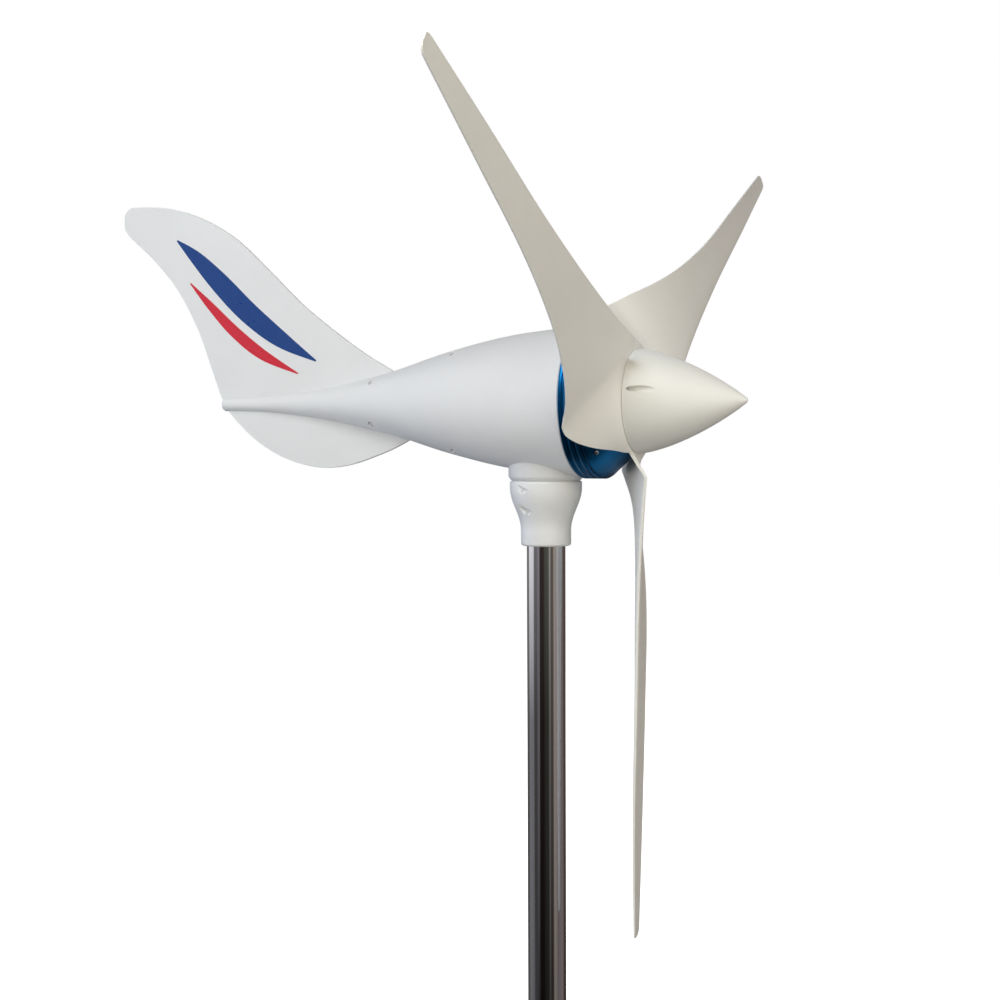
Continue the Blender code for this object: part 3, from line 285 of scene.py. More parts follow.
def turned(profile, axis="Z", segments=FINE):
    """A body of revolution from a closed loop of (radius, place along the axis)."""
    shape = bmesh.new()
    loop = [shape.verts.new((radius, 0.0, along)) for radius, along in profile]
    edges = [shape.edges.new((loop[i - 1], loop[i])) for i in range(len(loop))]
    bmesh.ops.spin(
        shape,
        geom=loop + edges,
        axis=(0, 0, 1),
        cent=(0, 0, 0),
        angle=2 * pi,
        steps=segments,
        use_merge=True,
    )
    bmesh.ops.remove_doubles(shape, verts=shape.verts, dist=1.0e-6)
    on_axis = [edge for edge in shape.edges if not edge.link_faces]
    bmesh.ops.delete(shape, geom=on_axis, context="EDGES")
    return moved(shape, AXES[axis])


def rod(start, end, radius, segments=SMALL):
    """A closed cylinder between two points."""
    start, end = Vector(start), Vector(end)
    shape = bmesh.new()
    bmesh.ops.create_cone(
        shape,
        cap_ends=True,
        segments=segments,
        radius1=radius,
        radius2=radius,
        depth=(end - start).length,
    )
    turn = Vector((0, 0, 1)).rotation_difference(end - start).to_matrix().to_4x4()
    return moved(shape, Matrix.Translation((start + end) / 2) @ turn)


def block(low, high):
    low, high = Vector(low), Vector(high)
    shape = bmesh.new()
    bmesh.ops.create_cube(shape, size=1.0)
    size = Matrix.Diagonal((*(high - low), 1.0))
    return moved(shape, Matrix.Translation((low + high) / 2) @ size)


def plate(outline, half_thickness, centre=0.0):
    """A flat plate from an outline in the XZ plane."""
    shape = bmesh.new()
    face = shape.faces.new([shape.verts.new((x, centre - half_thickness, z)) for x, z in outline])
    grown_faces = bmesh.ops.extrude_face_region(shape, geom=[face])["geom"]
    far_side = [item for item in grown_faces if isinstance(item, bmesh.types.BMVert)]
    bmesh.ops.translate(shape, vec=(0, 2 * half_thickness, 0), verts=far_side)
    return shape


def merged(shapes):
    """One bmesh with the geometry of several."""
    whole = bmesh.new()
    for shape in shapes:
        mesh = as_mesh("piece", shape)
        whole.from_mesh(mesh)
        bpy.data.meshes.remove(mesh)
    return whole


def combined(base, shapes, operation):
    """The base with the shapes cut from it or joined to it, as a new bmesh."""
    target = as_object("carved", base)
    helper = as_object("carver", merged(shapes))
    modifier = target.modifiers.new("carve", "BOOLEAN")
    modifier.operation = operation
    modifier.object = helper
    modifier.solver = "EXACT"
    modifier.use_self = True
    carved = target.evaluated_get(bpy.context.evaluated_depsgraph_get()).to_mesh()
    result = bmesh.new()
    result.from_mesh(carved)
    for obj in (target, helper):
        mesh = obj.data
        bpy.data.objects.remove(obj, do_unlink=True)
        bpy.data.meshes.remove(mesh)
    return result


def less(base, *shapes):
    return combined(base, shapes, "DIFFERENCE")


def plus(base, *shapes):
    return combined(base, shapes, "UNION")


def as_object(name, shape):
    bmesh.ops.remove_doubles(shape, verts=shape.verts, dist=1.0e-6)
    bmesh.ops.recalc_face_normals(shape, faces=shape.faces)
    return linked(name, as_mesh(name, shape))


def spline(points, steps):
    """A smooth curve through the points, with the given number of steps between neighbours."""
    padded = [points[0], *points, points[-1]]
    curve = []
    for before, start, end, after in zip(padded, padded[1:], padded[2:], padded[3:]):
        for step in range(steps):
            t = step / steps
            curve.append(
                tuple(
                    b + 0.5 * t * (c - a + t * (2 * a - 5 * b + 4 * c - d + t * (3 * (b - c) + d - a)))
                    for a, b, c, d in zip(before, start, end, after)
                )
            )
    return curve + [points[-1]]


def read(table, place_along):
    """Reads a row of a station table at a place, following a smooth curve through its rows."""
    last = len(table) - 2
    index = max(0, min(last, sum(row[0] <= place_along for row in table) - 1))
    before, start = table[max(index - 1, 0)], table[index]
    end, after = table[index + 1], table[min(index + 2, len(table) - 1)]
    width = end[0] - start[0]
    t = (place_along - start[0]) / width
    row = []
    for a, b, c, d in zip(before[1:], start[1:], end[1:], after[1:]):
        slope_in = (c - a) / (end[0] - before[0]) * width
        slope_out = (d - b) / (after[0] - start[0]) * width
        rise = c - b
        bend = 3 * rise - 2 * slope_in - slope_out
        twist = slope_in + slope_out - 2 * rise
        row.append(b + t * (slope_in + t * (bend + t * twist)))
    return row


def grown(outline, distance):
    """The outline moved outward along its own normals."""
    turn = sum(a[0] * b[1] - b[0] * a[1] for a, b in zip(outline, outline[1:] + outline[:1]))
    sign = 1 if turn > 0 else -1
    line = []
    for before, point, after in zip(outline[-1:] + outline[:-1], outline, outline[1:] + outline[:1]):
        along = Vector((after[0] - before[0], after[1] - before[1])).normalized()
        line.append((point[0] + sign * distance * along.y, point[1] - sign * distance * along.x))
    return line


def around(direction, radius, along):
    """A point at a direction about the shaft, measured from straight down towards +Y."""
    return Vector((along, radius * sin(direction), -radius * cos(direction)))


def drill(direction, distance, low, high, radius):
    """A rod parallel to the shaft at a distance from it, between two places along it."""
    return rod(around(direction, distance, low), around(direction, distance, high), radius)


def soften(obj, width, segments, degrees):
    edge = obj.modifiers.new("edge", "BEVEL")
    edge.width = width
    edge.segments = segments
    edge.limit_method = "ANGLE"
    edge.angle_limit = radians(degrees)
    return edge


def piece(name, shape, body, slot, nodes=(), bevel=0.0, bevel_angle=30, sharp=32):
    """Places a shape in the world frame as a piece that rides on a body and stands for its CAD nodes."""
    obj = as_object(name, shape)
    mesh = obj.data
    mesh.transform(Matrix.Translation(HUB))
    mesh.shade_smooth()
    mesh.set_sharp_from_angle(angle=radians(sharp))
    mesh.materials.append(LOOKS[slot])
    if bevel:
        edge = soften(obj, bevel, 3, bevel_angle)
        edge.harden_normals = True
        edge.use_clamp_overlap = True
    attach(obj, body)
    if nodes:
        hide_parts(*nodes)
    return obj


# Materials


class Look:
    """Builds one node material around a Principled shader."""

    def __init__(self, name, roughness, metallic=0.0, coat=0.0, coat_roughness=0.1):
        self.material = bpy.data.materials.new(name)
        self.material.use_nodes = True
        self.tree = self.material.node_tree
        self.shader = self.tree.nodes["Principled BSDF"]
        self.shader.inputs["Metallic"].default_value = metallic
        self.shader.inputs["Roughness"].default_value = roughness
        self.shader.inputs["Coat Weight"].default_value = coat
        self.shader.inputs["Coat Roughness"].default_value = coat_roughness
        self.place = self.node("ShaderNodeTexCoord").outputs["Object"]
        self.normal = None

    def node(self, kind, **settings):
        made = self.tree.nodes.new(kind)
        for key, value in settings.items():
            setattr(made, key, value)
        return made

    def link(self, source, target):
        self.tree.links.new(source, target)

    def stretched(self, scale):
        mapping = self.node("ShaderNodeMapping")
        mapping.inputs["Scale"].default_value = scale
        self.link(self.place, mapping.inputs["Vector"])
        return mapping.outputs["Vector"]

    def noise(self, scale, detail=3.0, roughness=0.5, stretch=(1, 1, 1)):
        made = self.node("ShaderNodeTexNoise")
        made.inputs["Scale"].default_value = scale
        made.inputs["Detail"].default_value = detail
        made.inputs["Roughness"].default_value = roughness
        self.link(self.stretched(stretch), made.inputs["Vector"])
        return made.outputs["Fac"]

    def bands(self, direction, scale, kind="BANDS", distortion=0.0):
        """Regular lines across an axis, or rings about it, such as laminations and turning marks."""
        made = self.node("ShaderNodeTexWave", wave_type=kind)
        if kind == "BANDS":
            made.bands_direction = direction
        else:
            made.rings_direction = direction
        made.inputs["Scale"].default_value = scale
        made.inputs["Distortion"].default_value = distortion
        made.inputs["Detail"].default_value = 1.0
        shift = self.node("ShaderNodeMapping")
        shift.inputs["Location"].default_value = -HUB
        self.link(self.place, shift.inputs["Vector"])
        self.link(shift.outputs["Vector"], made.inputs["Vector"])
        return made.outputs["Fac"]

    def span(self, value, low, high, out_low, out_high):
        made = self.node("ShaderNodeMapRange")
        settings = {"From Min": low, "From Max": high, "To Min": out_low, "To Max": out_high}
        for name, number in settings.items():
            made.inputs[name].default_value = number
        self.link(value, made.inputs["Value"])
        return made.outputs["Result"]

    def shades(self, value, colour, *stops):
        """The colour, toned by a factor at each of two places along a value."""
        made = self.node("ShaderNodeValToRGB")
        for element, (position, factor) in zip(made.color_ramp.elements, stops):
            element.position = position
            element.color = (*toned(colour, factor), 1.0)
        self.link(value, made.inputs["Fac"])
        return made.outputs["Color"]

    def mix(self, share, first, second):
        made = self.node("ShaderNodeMix", data_type="RGBA")
        self.link(share, made.inputs["Factor"])
        for value, name in ((first, 6), (second, 7)):
            if isinstance(value, tuple):
                made.inputs[name].default_value = (*value, 1.0)
            else:
                self.link(value, made.inputs[name])
        return made.outputs[2]

    def patchy(self, base, tone, low, high, most, *noise):
        """The base with another tone in patches, where a noise rises from low to high."""
        return self.mix(self.span(self.noise(*noise), low, high, 0.0, most), base, tone)

    def sheen(self, low, high, *noise):
        """A roughness that wanders between two values."""
        return self.span(self.noise(*noise), 0.3, 0.7, low, high)

    def edges(self, low, high):
        """A share that rises along convex edges, where a part is handled and worn."""
        point = self.node("ShaderNodeNewGeometry").outputs["Pointiness"]
        return self.span(point, low, high, 0.0, 1.0)

    def relief(self, height, depth):
        bump = self.node("ShaderNodeBump")
        bump.inputs["Strength"].default_value = 1.0
        bump.inputs["Distance"].default_value = depth
        self.link(height, bump.inputs["Height"])
        if self.normal is not None:
            self.link(self.normal, bump.inputs["Normal"])
        self.normal = bump.outputs["Normal"]

    def finish(self, colour, roughness=None):
        self.link(colour, self.shader.inputs["Base Color"])
        if roughness is not None:
            self.link(roughness, self.shader.inputs["Roughness"])
        if self.normal is not None:
            self.link(self.normal, self.shader.inputs["Normal"])
        return self.material


def toned(colour, factor):
    return tuple(channel * factor for channel in colour)


def moulded_plastic(name, colour, roughness, dirt):
    """Satin moulding: a fine cast texture, faint flow mottling and a few specks of dust."""
    look = Look(name, roughness)
    flow = look.noise(9.0, 4.0, 0.6)
    clouds = look.shades(flow, colour, (0.30, 0.972), (0.70, 1.018))
    spotted = look.patchy(clouds, dirt, 0.66, 0.76, 0.30, 260.0, 5.0, 0.65)
    look.relief(look.noise(1500.0, 2.0), 0.000012)
    look.relief(look.noise(42.0, 2.0), 0.00010)
    sheen = look.sheen(roughness - 0.05, roughness + 0.07, 55.0, 5.0, 0.6, (0.5, 1, 1))
    return look.finish(spotted, sheen)


def blade_plastic(name, colour, roughness):
    """Glass-filled moulding: a fine even grain, and a slightly worn, paler edge."""
    look = Look(name, roughness)
    flow = look.noise(7.0, 5.0, 0.6)
    clouds = look.shades(flow, colour, (0.30, 0.965), (0.70, 1.02))
    fibred = look.patchy(clouds, toned(colour, 0.86), 0.58, 0.72, 0.12, 700.0, 3.0, 0.7)
    edged = look.mix(look.edges(0.56, 0.66), fibred, toned(colour, 1.10))
    look.relief(look.noise(1100.0, 3.0, 0.6), 0.0000015)
    look.relief(look.noise(26.0, 2.0), 0.00012)
    sheen = look.sheen(roughness - 0.04, roughness + 0.08, 70.0, 4.0, 0.6)
    return look.finish(edged, sheen)


def satin_paint(name, colour, roughness, metallic, worn, coat=0.25):
    """Sprayed coat: orange peel, fine flake, and edges rubbed to a brighter tone."""
    look = Look(name, roughness, metallic, coat=coat, coat_roughness=0.18)
    flake = look.noise(2600.0, 2.0, 0.7)
    base = look.shades(flake, colour, (0.35, 0.80), (0.65, 1.22))
    patches = look.patchy(base, toned(colour, 0.75), 0.35, 0.7, 0.35, 14.0, 4.0, 0.6)
    rubbed = look.mix(look.edges(0.53, 0.62), patches, worn)
    look.relief(look.noise(750.0, 2.0), 0.000022)
    sheen = look.sheen(roughness - 0.05, roughness + 0.10, 60.0, 5.0, 0.6)
    return look.finish(rubbed, sheen)


def polished_tube(name, colour):
    """Drawn and polished stainless: hairlines along the tube, faint smears and water marks."""
    look = Look(name, 0.10, 1.0)
    hair = look.noise(900.0, 4.0, 0.7, (1, 1, 0.004))
    base = look.shades(hair, colour, (0.35, 0.90), (0.65, 1.05))
    smears = look.noise(22.0, 5.0, 0.65, (1, 1, 0.35))
    look.relief(hair, 0.0000025)
    look.relief(look.noise(12.0, 2.0, 0.5, (1, 1, 0.25)), 0.00004)
    return look.finish(base, look.span(smears, 0.40, 0.75, 0.055, 0.17))


def turned_metal(name, colour, roughness, axis="X", pitch=900.0):
    """Machined metal: turning rings about its axis, with small scratches and stains."""
    look = Look(name, roughness, 1.0)
    rings = look.bands(axis, pitch, "RINGS", 0.4)
    base = look.shades(rings, colour, (0.2, 0.90), (0.8, 1.04))
    stains = look.patchy(base, toned(colour, 0.72), 0.52, 0.75, 0.4, 90.0, 5.0, 0.6)
    look.relief(rings, 0.000006)
    look.relief(look.noise(400.0, 4.0, 0.7), 0.000006)
    sheen = look.sheen(roughness - 0.06, roughness + 0.10, 160.0, 4.0, 0.6)
    return look.finish(stains, sheen)


def laminated(name, colour):
    """Stacked sheets pressed together: fine lines across the shaft axis."""
    look = Look(name, 0.50, 0.85)
    sheets = look.bands("X", 320.0)
    base = look.shades(sheets, colour, (0.15, 0.55), (0.45, 1.0))
    rust = look.patchy(base, (0.20, 0.11, 0.06), 0.55, 0.8, 0.5, 120.0, 5.0, 0.6)
    look.relief(sheets, 0.00008)
    return look.finish(rust, look.sheen(0.42, 0.60, 200.0, 3.0))


def wound_copper(name, colour):
    """Wire laid in turns about the shaft, and bare rings: fine round ridges in enamelled copper."""
    look = Look(name, 0.30, 1.0, coat=0.3)
    turns = look.bands("X", 420.0, "RINGS", 0.8)
    base = look.shades(turns, colour, (0.1, 0.45), (0.6, 1.0))
    aged = look.patchy(base, toned(colour, 0.6), 0.5, 0.8, 0.5, 60.0, 5.0, 0.6)
    look.relief(turns, 0.00015)
    return look.finish(aged, look.sheen(0.24, 0.42, 150.0, 3.0))


def plated(name, colour):
    """Nickel plate: bright, with cloudy patches and small pits."""
    look = Look(name, 0.25, 1.0)
    clouds = look.noise(35.0, 5.0, 0.6)
    base = look.shades(clouds, colour, (0.3, 0.88), (0.7, 1.05))
    look.relief(look.noise(500.0, 3.0), 0.00001)
    return look.finish(base, look.span(clouds, 0.3, 0.7, 0.18, 0.34))


def moulded_black(name, colour, roughness):
    """Black moulding or sintered carbon: grainy, with greyer rubbed edges."""
    look = Look(name, roughness)
    grain = look.noise(800.0, 4.0, 0.7)
    base = look.shades(grain, colour, (0.35, 0.7), (0.7, 1.6))
    rubbed = look.mix(look.edges(0.54, 0.64), base, toned(colour, 2.6))
    look.relief(grain, 0.00003)
    return look.finish(rubbed, look.sheen(roughness - 0.06, roughness + 0.10, 90.0, 3.0))


def vinyl(name, colour):
    """Printed vinyl film: even colour with a fine print grain and a few pale scuffs."""
    look = Look(name, 0.32, coat=0.2)
    grain = look.noise(900.0, 2.0)
    base = look.shades(grain, colour, (0.35, 0.92), (0.65, 1.08))
    scuffs = look.patchy(base, (0.55, 0.55, 0.57), 0.66, 0.80, 0.35, 120.0, 6.0, 0.7)
    look.relief(look.noise(60.0, 2.0), 0.00004)
    return look.finish(scuffs, look.sheen(0.26, 0.40, 40.0, 4.0))


WHITE = (0.810, 0.815, 0.825)
CREAM = (0.885, 0.882, 0.855)
BLUE = (0.003, 0.150, 0.380)
DUST = (0.62, 0.60, 0.56)
LOOKS = {
    "white_plastic": moulded_plastic("white_plastic_satin", WHITE, 0.40, DUST),
    "white_paint": satin_paint("white_paint_satin", WHITE, 0.40, 0.0, toned(WHITE, 1.05)),
    "cream_plastic": blade_plastic("cream_plastic_satin", CREAM, 0.42),
    "blue_paint": satin_paint("blue_paint_satin", BLUE, 0.32, 0.97, (0.02, 0.22, 0.50), coat=0.0),
    "stainless_tube": polished_tube("stainless_polished", (0.62, 0.61, 0.61)),
    "alloy": turned_metal("alloy_turned", (0.72, 0.72, 0.73), 0.38),
    "steel": turned_metal("steel_turned", (0.58, 0.58, 0.59), 0.28),
    "iron": laminated("iron_laminated", (0.24, 0.24, 0.25)),
    "magnet": plated("magnet_nickel", (0.45, 0.46, 0.48)),
    "copper": wound_copper("copper_wound", (0.72, 0.36, 0.18)),
    "carbon": moulded_black("carbon_sintered", (0.05, 0.05, 0.05), 0.60),
    "black_plastic": moulded_black("black_plastic_moulded", (0.03, 0.03, 0.03), 0.48),
    "stripe_blue": vinyl("vinyl_blue", (0.012, 0.055, 0.230)),
    "stripe_red": vinyl("vinyl_red", (0.640, 0.028, 0.050)),
}


# Mast


def make_tube():
    bevel = 0.0004
    inner = TUBE_RADIUS - TUBE_WALL
    profile = [(inner, TUBE_BOTTOM + bevel), (inner + bevel, TUBE_BOTTOM)]
    profile += [(TUBE_RADIUS - bevel, TUBE_BOTTOM), (TUBE_RADIUS, TUBE_BOTTOM + bevel)]
    profile += [(TUBE_RADIUS, TUBE_TOP), (inner, TUBE_TOP)]
    piece("tube_skin", turned(profile), "mast", "stainless_tube", ["mast_tube"])


def sleeve_radius(height):
    """The sleeve's outer radius: a wide top that necks down to a straight foot."""
    start, end = SLEEVE_NECK
    fall = max(0.0, min(1.0, (start - height) / (start - end)))
    return SLEEVE_FOOT_RADIUS + (SLEEVE_TOP_RADIUS - SLEEVE_FOOT_RADIUS) * (1 + cos(pi * fall)) / 2


def make_sleeve():
    lip = SLEEVE_LIP
    foot = SLEEVE_FOOT_ROUND
    ledge = COLLAR_BOTTOM - GAP
    outline = [(SLEEVE_INNER, ledge), (SLEEVE_LEDGE_RADIUS, ledge), (SLEEVE_LEDGE_RADIUS, SLEEVE_TOP)]
    for step in range(5):
        bend = pi / 2 * step / 4
        outline.append((SLEEVE_TOP_RADIUS - lip + lip * sin(bend), SLEEVE_TOP - lip + lip * cos(bend)))
    steps = 28
    start, end = SLEEVE_NECK
    for step in range(steps + 1):
        height = start + (end - start) * step / steps
        outline.append((sleeve_radius(height), height))
    for step in range(6):
        bend = pi / 2 * step / 5
        radius = SLEEVE_FOOT_RADIUS - foot + foot * cos(bend)
        outline.append((radius, SLEEVE_BOTTOM + foot - foot * sin(bend)))
    bore = TUBE_RADIUS + GAP
    outline += [(bore, SLEEVE_BOTTOM), (bore, TUBE_TOP), (SLEEVE_INNER, TUBE_TOP)]
    out = Vector((cos(SLEEVE_SCREW_DIRECTION), sin(SLEEVE_SCREW_DIRECTION), 0))
    level = Vector((-out.y, out.x, 0))
    lean = Vector((0, 0, cos(RECESS_LEAN))) + level * sin(RECESS_LEAN)
    inward = lean * sin(RECESS_DIVE) - out * cos(RECESS_DIVE)
    lift = lean * cos(RECESS_DIVE) + out * sin(RECESS_DIVE)
    rise, depth = RECESS_END
    cutters = []
    for name, height in zip(("upper", "lower"), SLEEVE_SCREW_HEIGHTS):
        surface = out * sleeve_radius(height) + Vector((0, 0, height))
        end = surface + lean * rise - out * depth + lift * RECESS_RADIUS
        floor = surface - out * SCREW_FLOOR
        cutters.append(rod(end - inward * RECESS_RUN, end, RECESS_RADIUS, MEDIUM))
        cutters.append(rod(surface, floor, SLEEVE_SCREW[0] + GAP))
        seat = floor + out * GAP
        node = f"sleeve_screw_{name}"
        screw(node, seat, -out, SLEEVE_SCREW, SLEEVE_SCREW_LENGTH, "mast", "white_paint")
    shape = less(turned(outline), *cutters)
    piece("sleeve_skin", shape, "mast", "white_plastic", ["mast_sleeve"], bevel=0.0004)


def screw(node, seat, inward, size, length, body, slot="steel"):
    """A pan-head screw with a domed head and a cross recess."""
    head_radius, head_height, shank_radius = size
    profile = [(0.0, -length), (0.75 * shank_radius, -length)]
    profile += [(shank_radius, -length + 0.4 * shank_radius), (shank_radius, 0.0), (head_radius, 0.0)]
    for step in range(6):
        bend = pi / 2 * step / 5
        profile.append((head_radius * cos(bend) ** 0.6, head_height * (0.35 + 0.65 * sin(bend))))
    shape = turned(profile, segments=SMALL)
    wing = 0.16 * head_radius
    reach = 0.55 * head_radius
    floor = 0.40 * head_height
    cross = [block((-reach, -wing, floor), (reach, wing, 2 * head_height))]
    cross.append(block((-wing, -reach, floor), (wing, reach, 2 * head_height)))
    shape = less(shape, *cross)
    turn = Vector((0, 0, 1)).rotation_difference(-Vector(inward).normalized()).to_matrix().to_4x4()
    moved(shape, Matrix.Translation(seat) @ turn)
    piece(f"{node}_skin", shape, body, slot, [node])


# Yaw head and nacelle


def make_yaw_head():
    foot, flare, rim = 0.0008, 0.0036, 0.0004
    body = [(0.0, COLLAR_BOTTOM), (COLLAR_FOOT_RADIUS - foot, COLLAR_BOTTOM)]
    body += [(COLLAR_FOOT_RADIUS, COLLAR_BOTTOM + foot), (COLLAR_RADIUS - rim, COLLAR_BOTTOM + flare)]
    body += [(COLLAR_RADIUS, COLLAR_BOTTOM + flare + 2 * rim), (COLLAR_RADIUS, COLLAR_TOP)]
    body += [(COLUMN[0], COLLAR_TOP), COLUMN, (0.0, COLUMN[1])]
    rear, front = END_PLATE
    seat_radius, seat_rear, seat_front = SHAFT_SEAT
    end_plate = [(0.0, rear), (END_PLATE_RADIUS, rear), (END_PLATE_RADIUS, front), (BOSS_RADIUS, front)]
    end_plate += [(BOSS_RADIUS, seat_front), (0.0, seat_front)]
    head = plus(turned(body), turned(end_plate, "X", MEDIUM))
    head = plus(head, block(*HEAD_WEB))
    (seat, step_low), (step_radius, step_high) = YAW_SEATS
    low = COLLAR_BOTTOM - PAST
    bore = [(0.0, low), (seat, low), (seat, step_low), (step_radius, step_low), (step_radius, step_high)]
    bore += [(seat, step_high), (seat, 0.0), (0.0, 0.0)]
    shaft_bore = [(0.0, rear - PAST), (SHAFT_HOLE, rear - PAST), (SHAFT_HOLE, seat_rear)]
    shaft_bore += [(seat_radius, seat_rear), (seat_radius, seat_front + PAST), (0.0, seat_front + PAST)]
    head = less(head, turned(bore, segments=MEDIUM))
    head = less(head, turned(shaft_bore, "X", MEDIUM))
    piece("yaw_head_skin", head, "head", "white_paint", ["yaw_head"])


def nacelle_radius(along):
    return read(NACELLE_STATIONS, along)[0]


def nacelle_solid():
    front = NACELLE_STATIONS[-1][0]
    rear = NACELLE_STATIONS[0][0]
    tail = NACELLE_LOW.x
    outline = [(radius, tail + along) for radius, along in NACELLE_TIP]
    curve = spline(NACELLE_STATIONS, 10)[:-1]
    outline += [(radius, along) for along, radius in curve if rear <= along <= front]
    last = NACELLE_STATIONS[-1][1]
    outline += [(last, front - NACELLE_RIM), (last - NACELLE_RIM, front), (0.0, front)]
    return turned(outline, "X")


def nacelle_cavity():
    rows = [row for row in spline(NACELLE_STATIONS, 6) if row[0] > CAVITY_TAIL + 0.01]
    outline = [(0.0, CAVITY_TAIL)] + [(radius - NACELLE_WALL, along) for along, radius in rows]
    front, radius = NACELLE_STATIONS[-1]
    outline += [(radius - NACELLE_WALL + GAP, front + PAST), (0.0, front + PAST)]
    return turned(outline, "X", MEDIUM)


def make_nacelle():
    span = 0.10
    tail = -0.54
    for side, sign in (("left", -1), ("right", 1)):
        away = sorted((0.5 * GAP * sign, -span * sign))
        posts = []
        holes = []
        for node, (along, height) in NACELLE_SCREWS.items():
            posts.append(rod((along, -span, height), (along, span, height), NACELLE_BOSS))
            floor = NACELLE_SCREW_INSET - sqrt(nacelle_radius(along) ** 2 - height**2)
            shank = NACELLE_SCREW[2] + GAP
            if sign < 0:
                head = NACELLE_SCREW[0] + GAP
                profile = [(0.0, -span), (head, -span), (head, floor)]
                profile += [(shank, floor), (shank, PAST), (0.0, PAST)]
                turn = Matrix.Translation((along, 0, height)) @ Matrix.Rotation(-pi / 2, 4, "X")
                holes.append(moved(turned(profile, segments=SMALL), turn))
                name = f"nacelle_screw_{node}"
                seat = Vector((along, floor - GAP, height))
                length = NACELLE_SCREW_REACH - floor
                screw(name, seat, (0, 1, 0), NACELLE_SCREW, length, "head", "white_paint")
            else:
                holes.append(rod((along, -PAST, height), (along, NACELLE_SCREW_HOLE, height), shank))
        shell = less(nacelle_solid(), block((tail, away[0], -span), (span, away[1], span)))
        shell = less(shell, less(nacelle_cavity(), *posts))
        shell = less(shell, rod((0, 0, -span), (0, 0, -span / 2), COLLAR_RADIUS + GAP, FINE))
        shell = less(shell, plate(grown(fin_outline(2), GAP), FIN_THICKNESS / 2 + GAP))
        shell = less(shell, *holes)
        piece(f"nacelle_{side}_skin", shell, "head", "white_plastic", [f"nacelle_{side}"])


def fin_outline(steps):
    tip = []
    tip_steps = 4 * steps
    for step in range(tip_steps + 1):
        bend = radians(80 + 100 * step / tip_steps)
        tip.append((FIN_TIP[0] + FIN_TIP_RADIUS * cos(bend), FIN_TIP[1] + FIN_TIP_RADIUS * sin(bend)))
    return spline(FIN_UPPER, steps) + tip + spline(FIN_TRAILING, steps)[1:] + spline(FIN_LOWER, steps)


def make_tail_fin():
    shape = plate(fin_outline(7), FIN_THICKNESS / 2)
    holes = []
    for node in ("tail_upper", "tail_lower"):
        along, height = NACELLE_SCREWS[node]
        holes.append(rod((along, -PAST, height), (along, PAST, height), NACELLE_BOSS + GAP))
    shape = less(shape, *holes)
    looks = {"bevel": FIN_EDGE, "bevel_angle": 60, "sharp": 60}
    piece("tail_fin_skin", shape, "head", "white_plastic", ["tail_fin"], **looks)


# Plain stripes on both sides of the fin, each as its centre line (x, z) and its half width along it
STRIPES = {
    "blue": (
        (-0.4980, 0.2060, 0.0010),
        (-0.4700, 0.1830, 0.0085),
        (-0.4350, 0.1500, 0.0130),
        (-0.3950, 0.1130, 0.0135),
        (-0.3500, 0.0800, 0.0105),
        (-0.3000, 0.0520, 0.0010),
    ),
    "red": (
        (-0.4790, 0.1520, 0.0008),
        (-0.4500, 0.1230, 0.0050),
        (-0.4150, 0.0900, 0.0072),
        (-0.3750, 0.0610, 0.0066),
        (-0.3250, 0.0370, 0.0008),
    ),
}


def make_stripes():
    film = 0.00010
    for colour, rows in STRIPES.items():
        line = spline(rows, 8)
        sides = {1: [], -1: []}
        for i, (x, z, half) in enumerate(line):
            before, after = line[max(i - 1, 0)], line[min(i + 1, len(line) - 1)]
            along = Vector((after[0] - before[0], after[1] - before[1])).normalized()
            for side in (1, -1):
                sides[side].append((x - side * half * along.y, z + side * half * along.x))
        outline = sides[1] + sides[-1][::-1]
        for side, sign in (("left", -1), ("right", 1)):
            centre = sign * (FIN_THICKNESS / 2 + film)
            shape = plate(outline, film / 2, centre)
            obj = piece(f"fin_stripe_{colour}_{side}", shape, "head", "white_plastic")
            obj.data.materials[0] = LOOKS[f"stripe_{colour}"]


def housing_radius(along):
    return HOUSING_RADIUS - CONE_SLOPE * max(0.0, along - CONE_START)


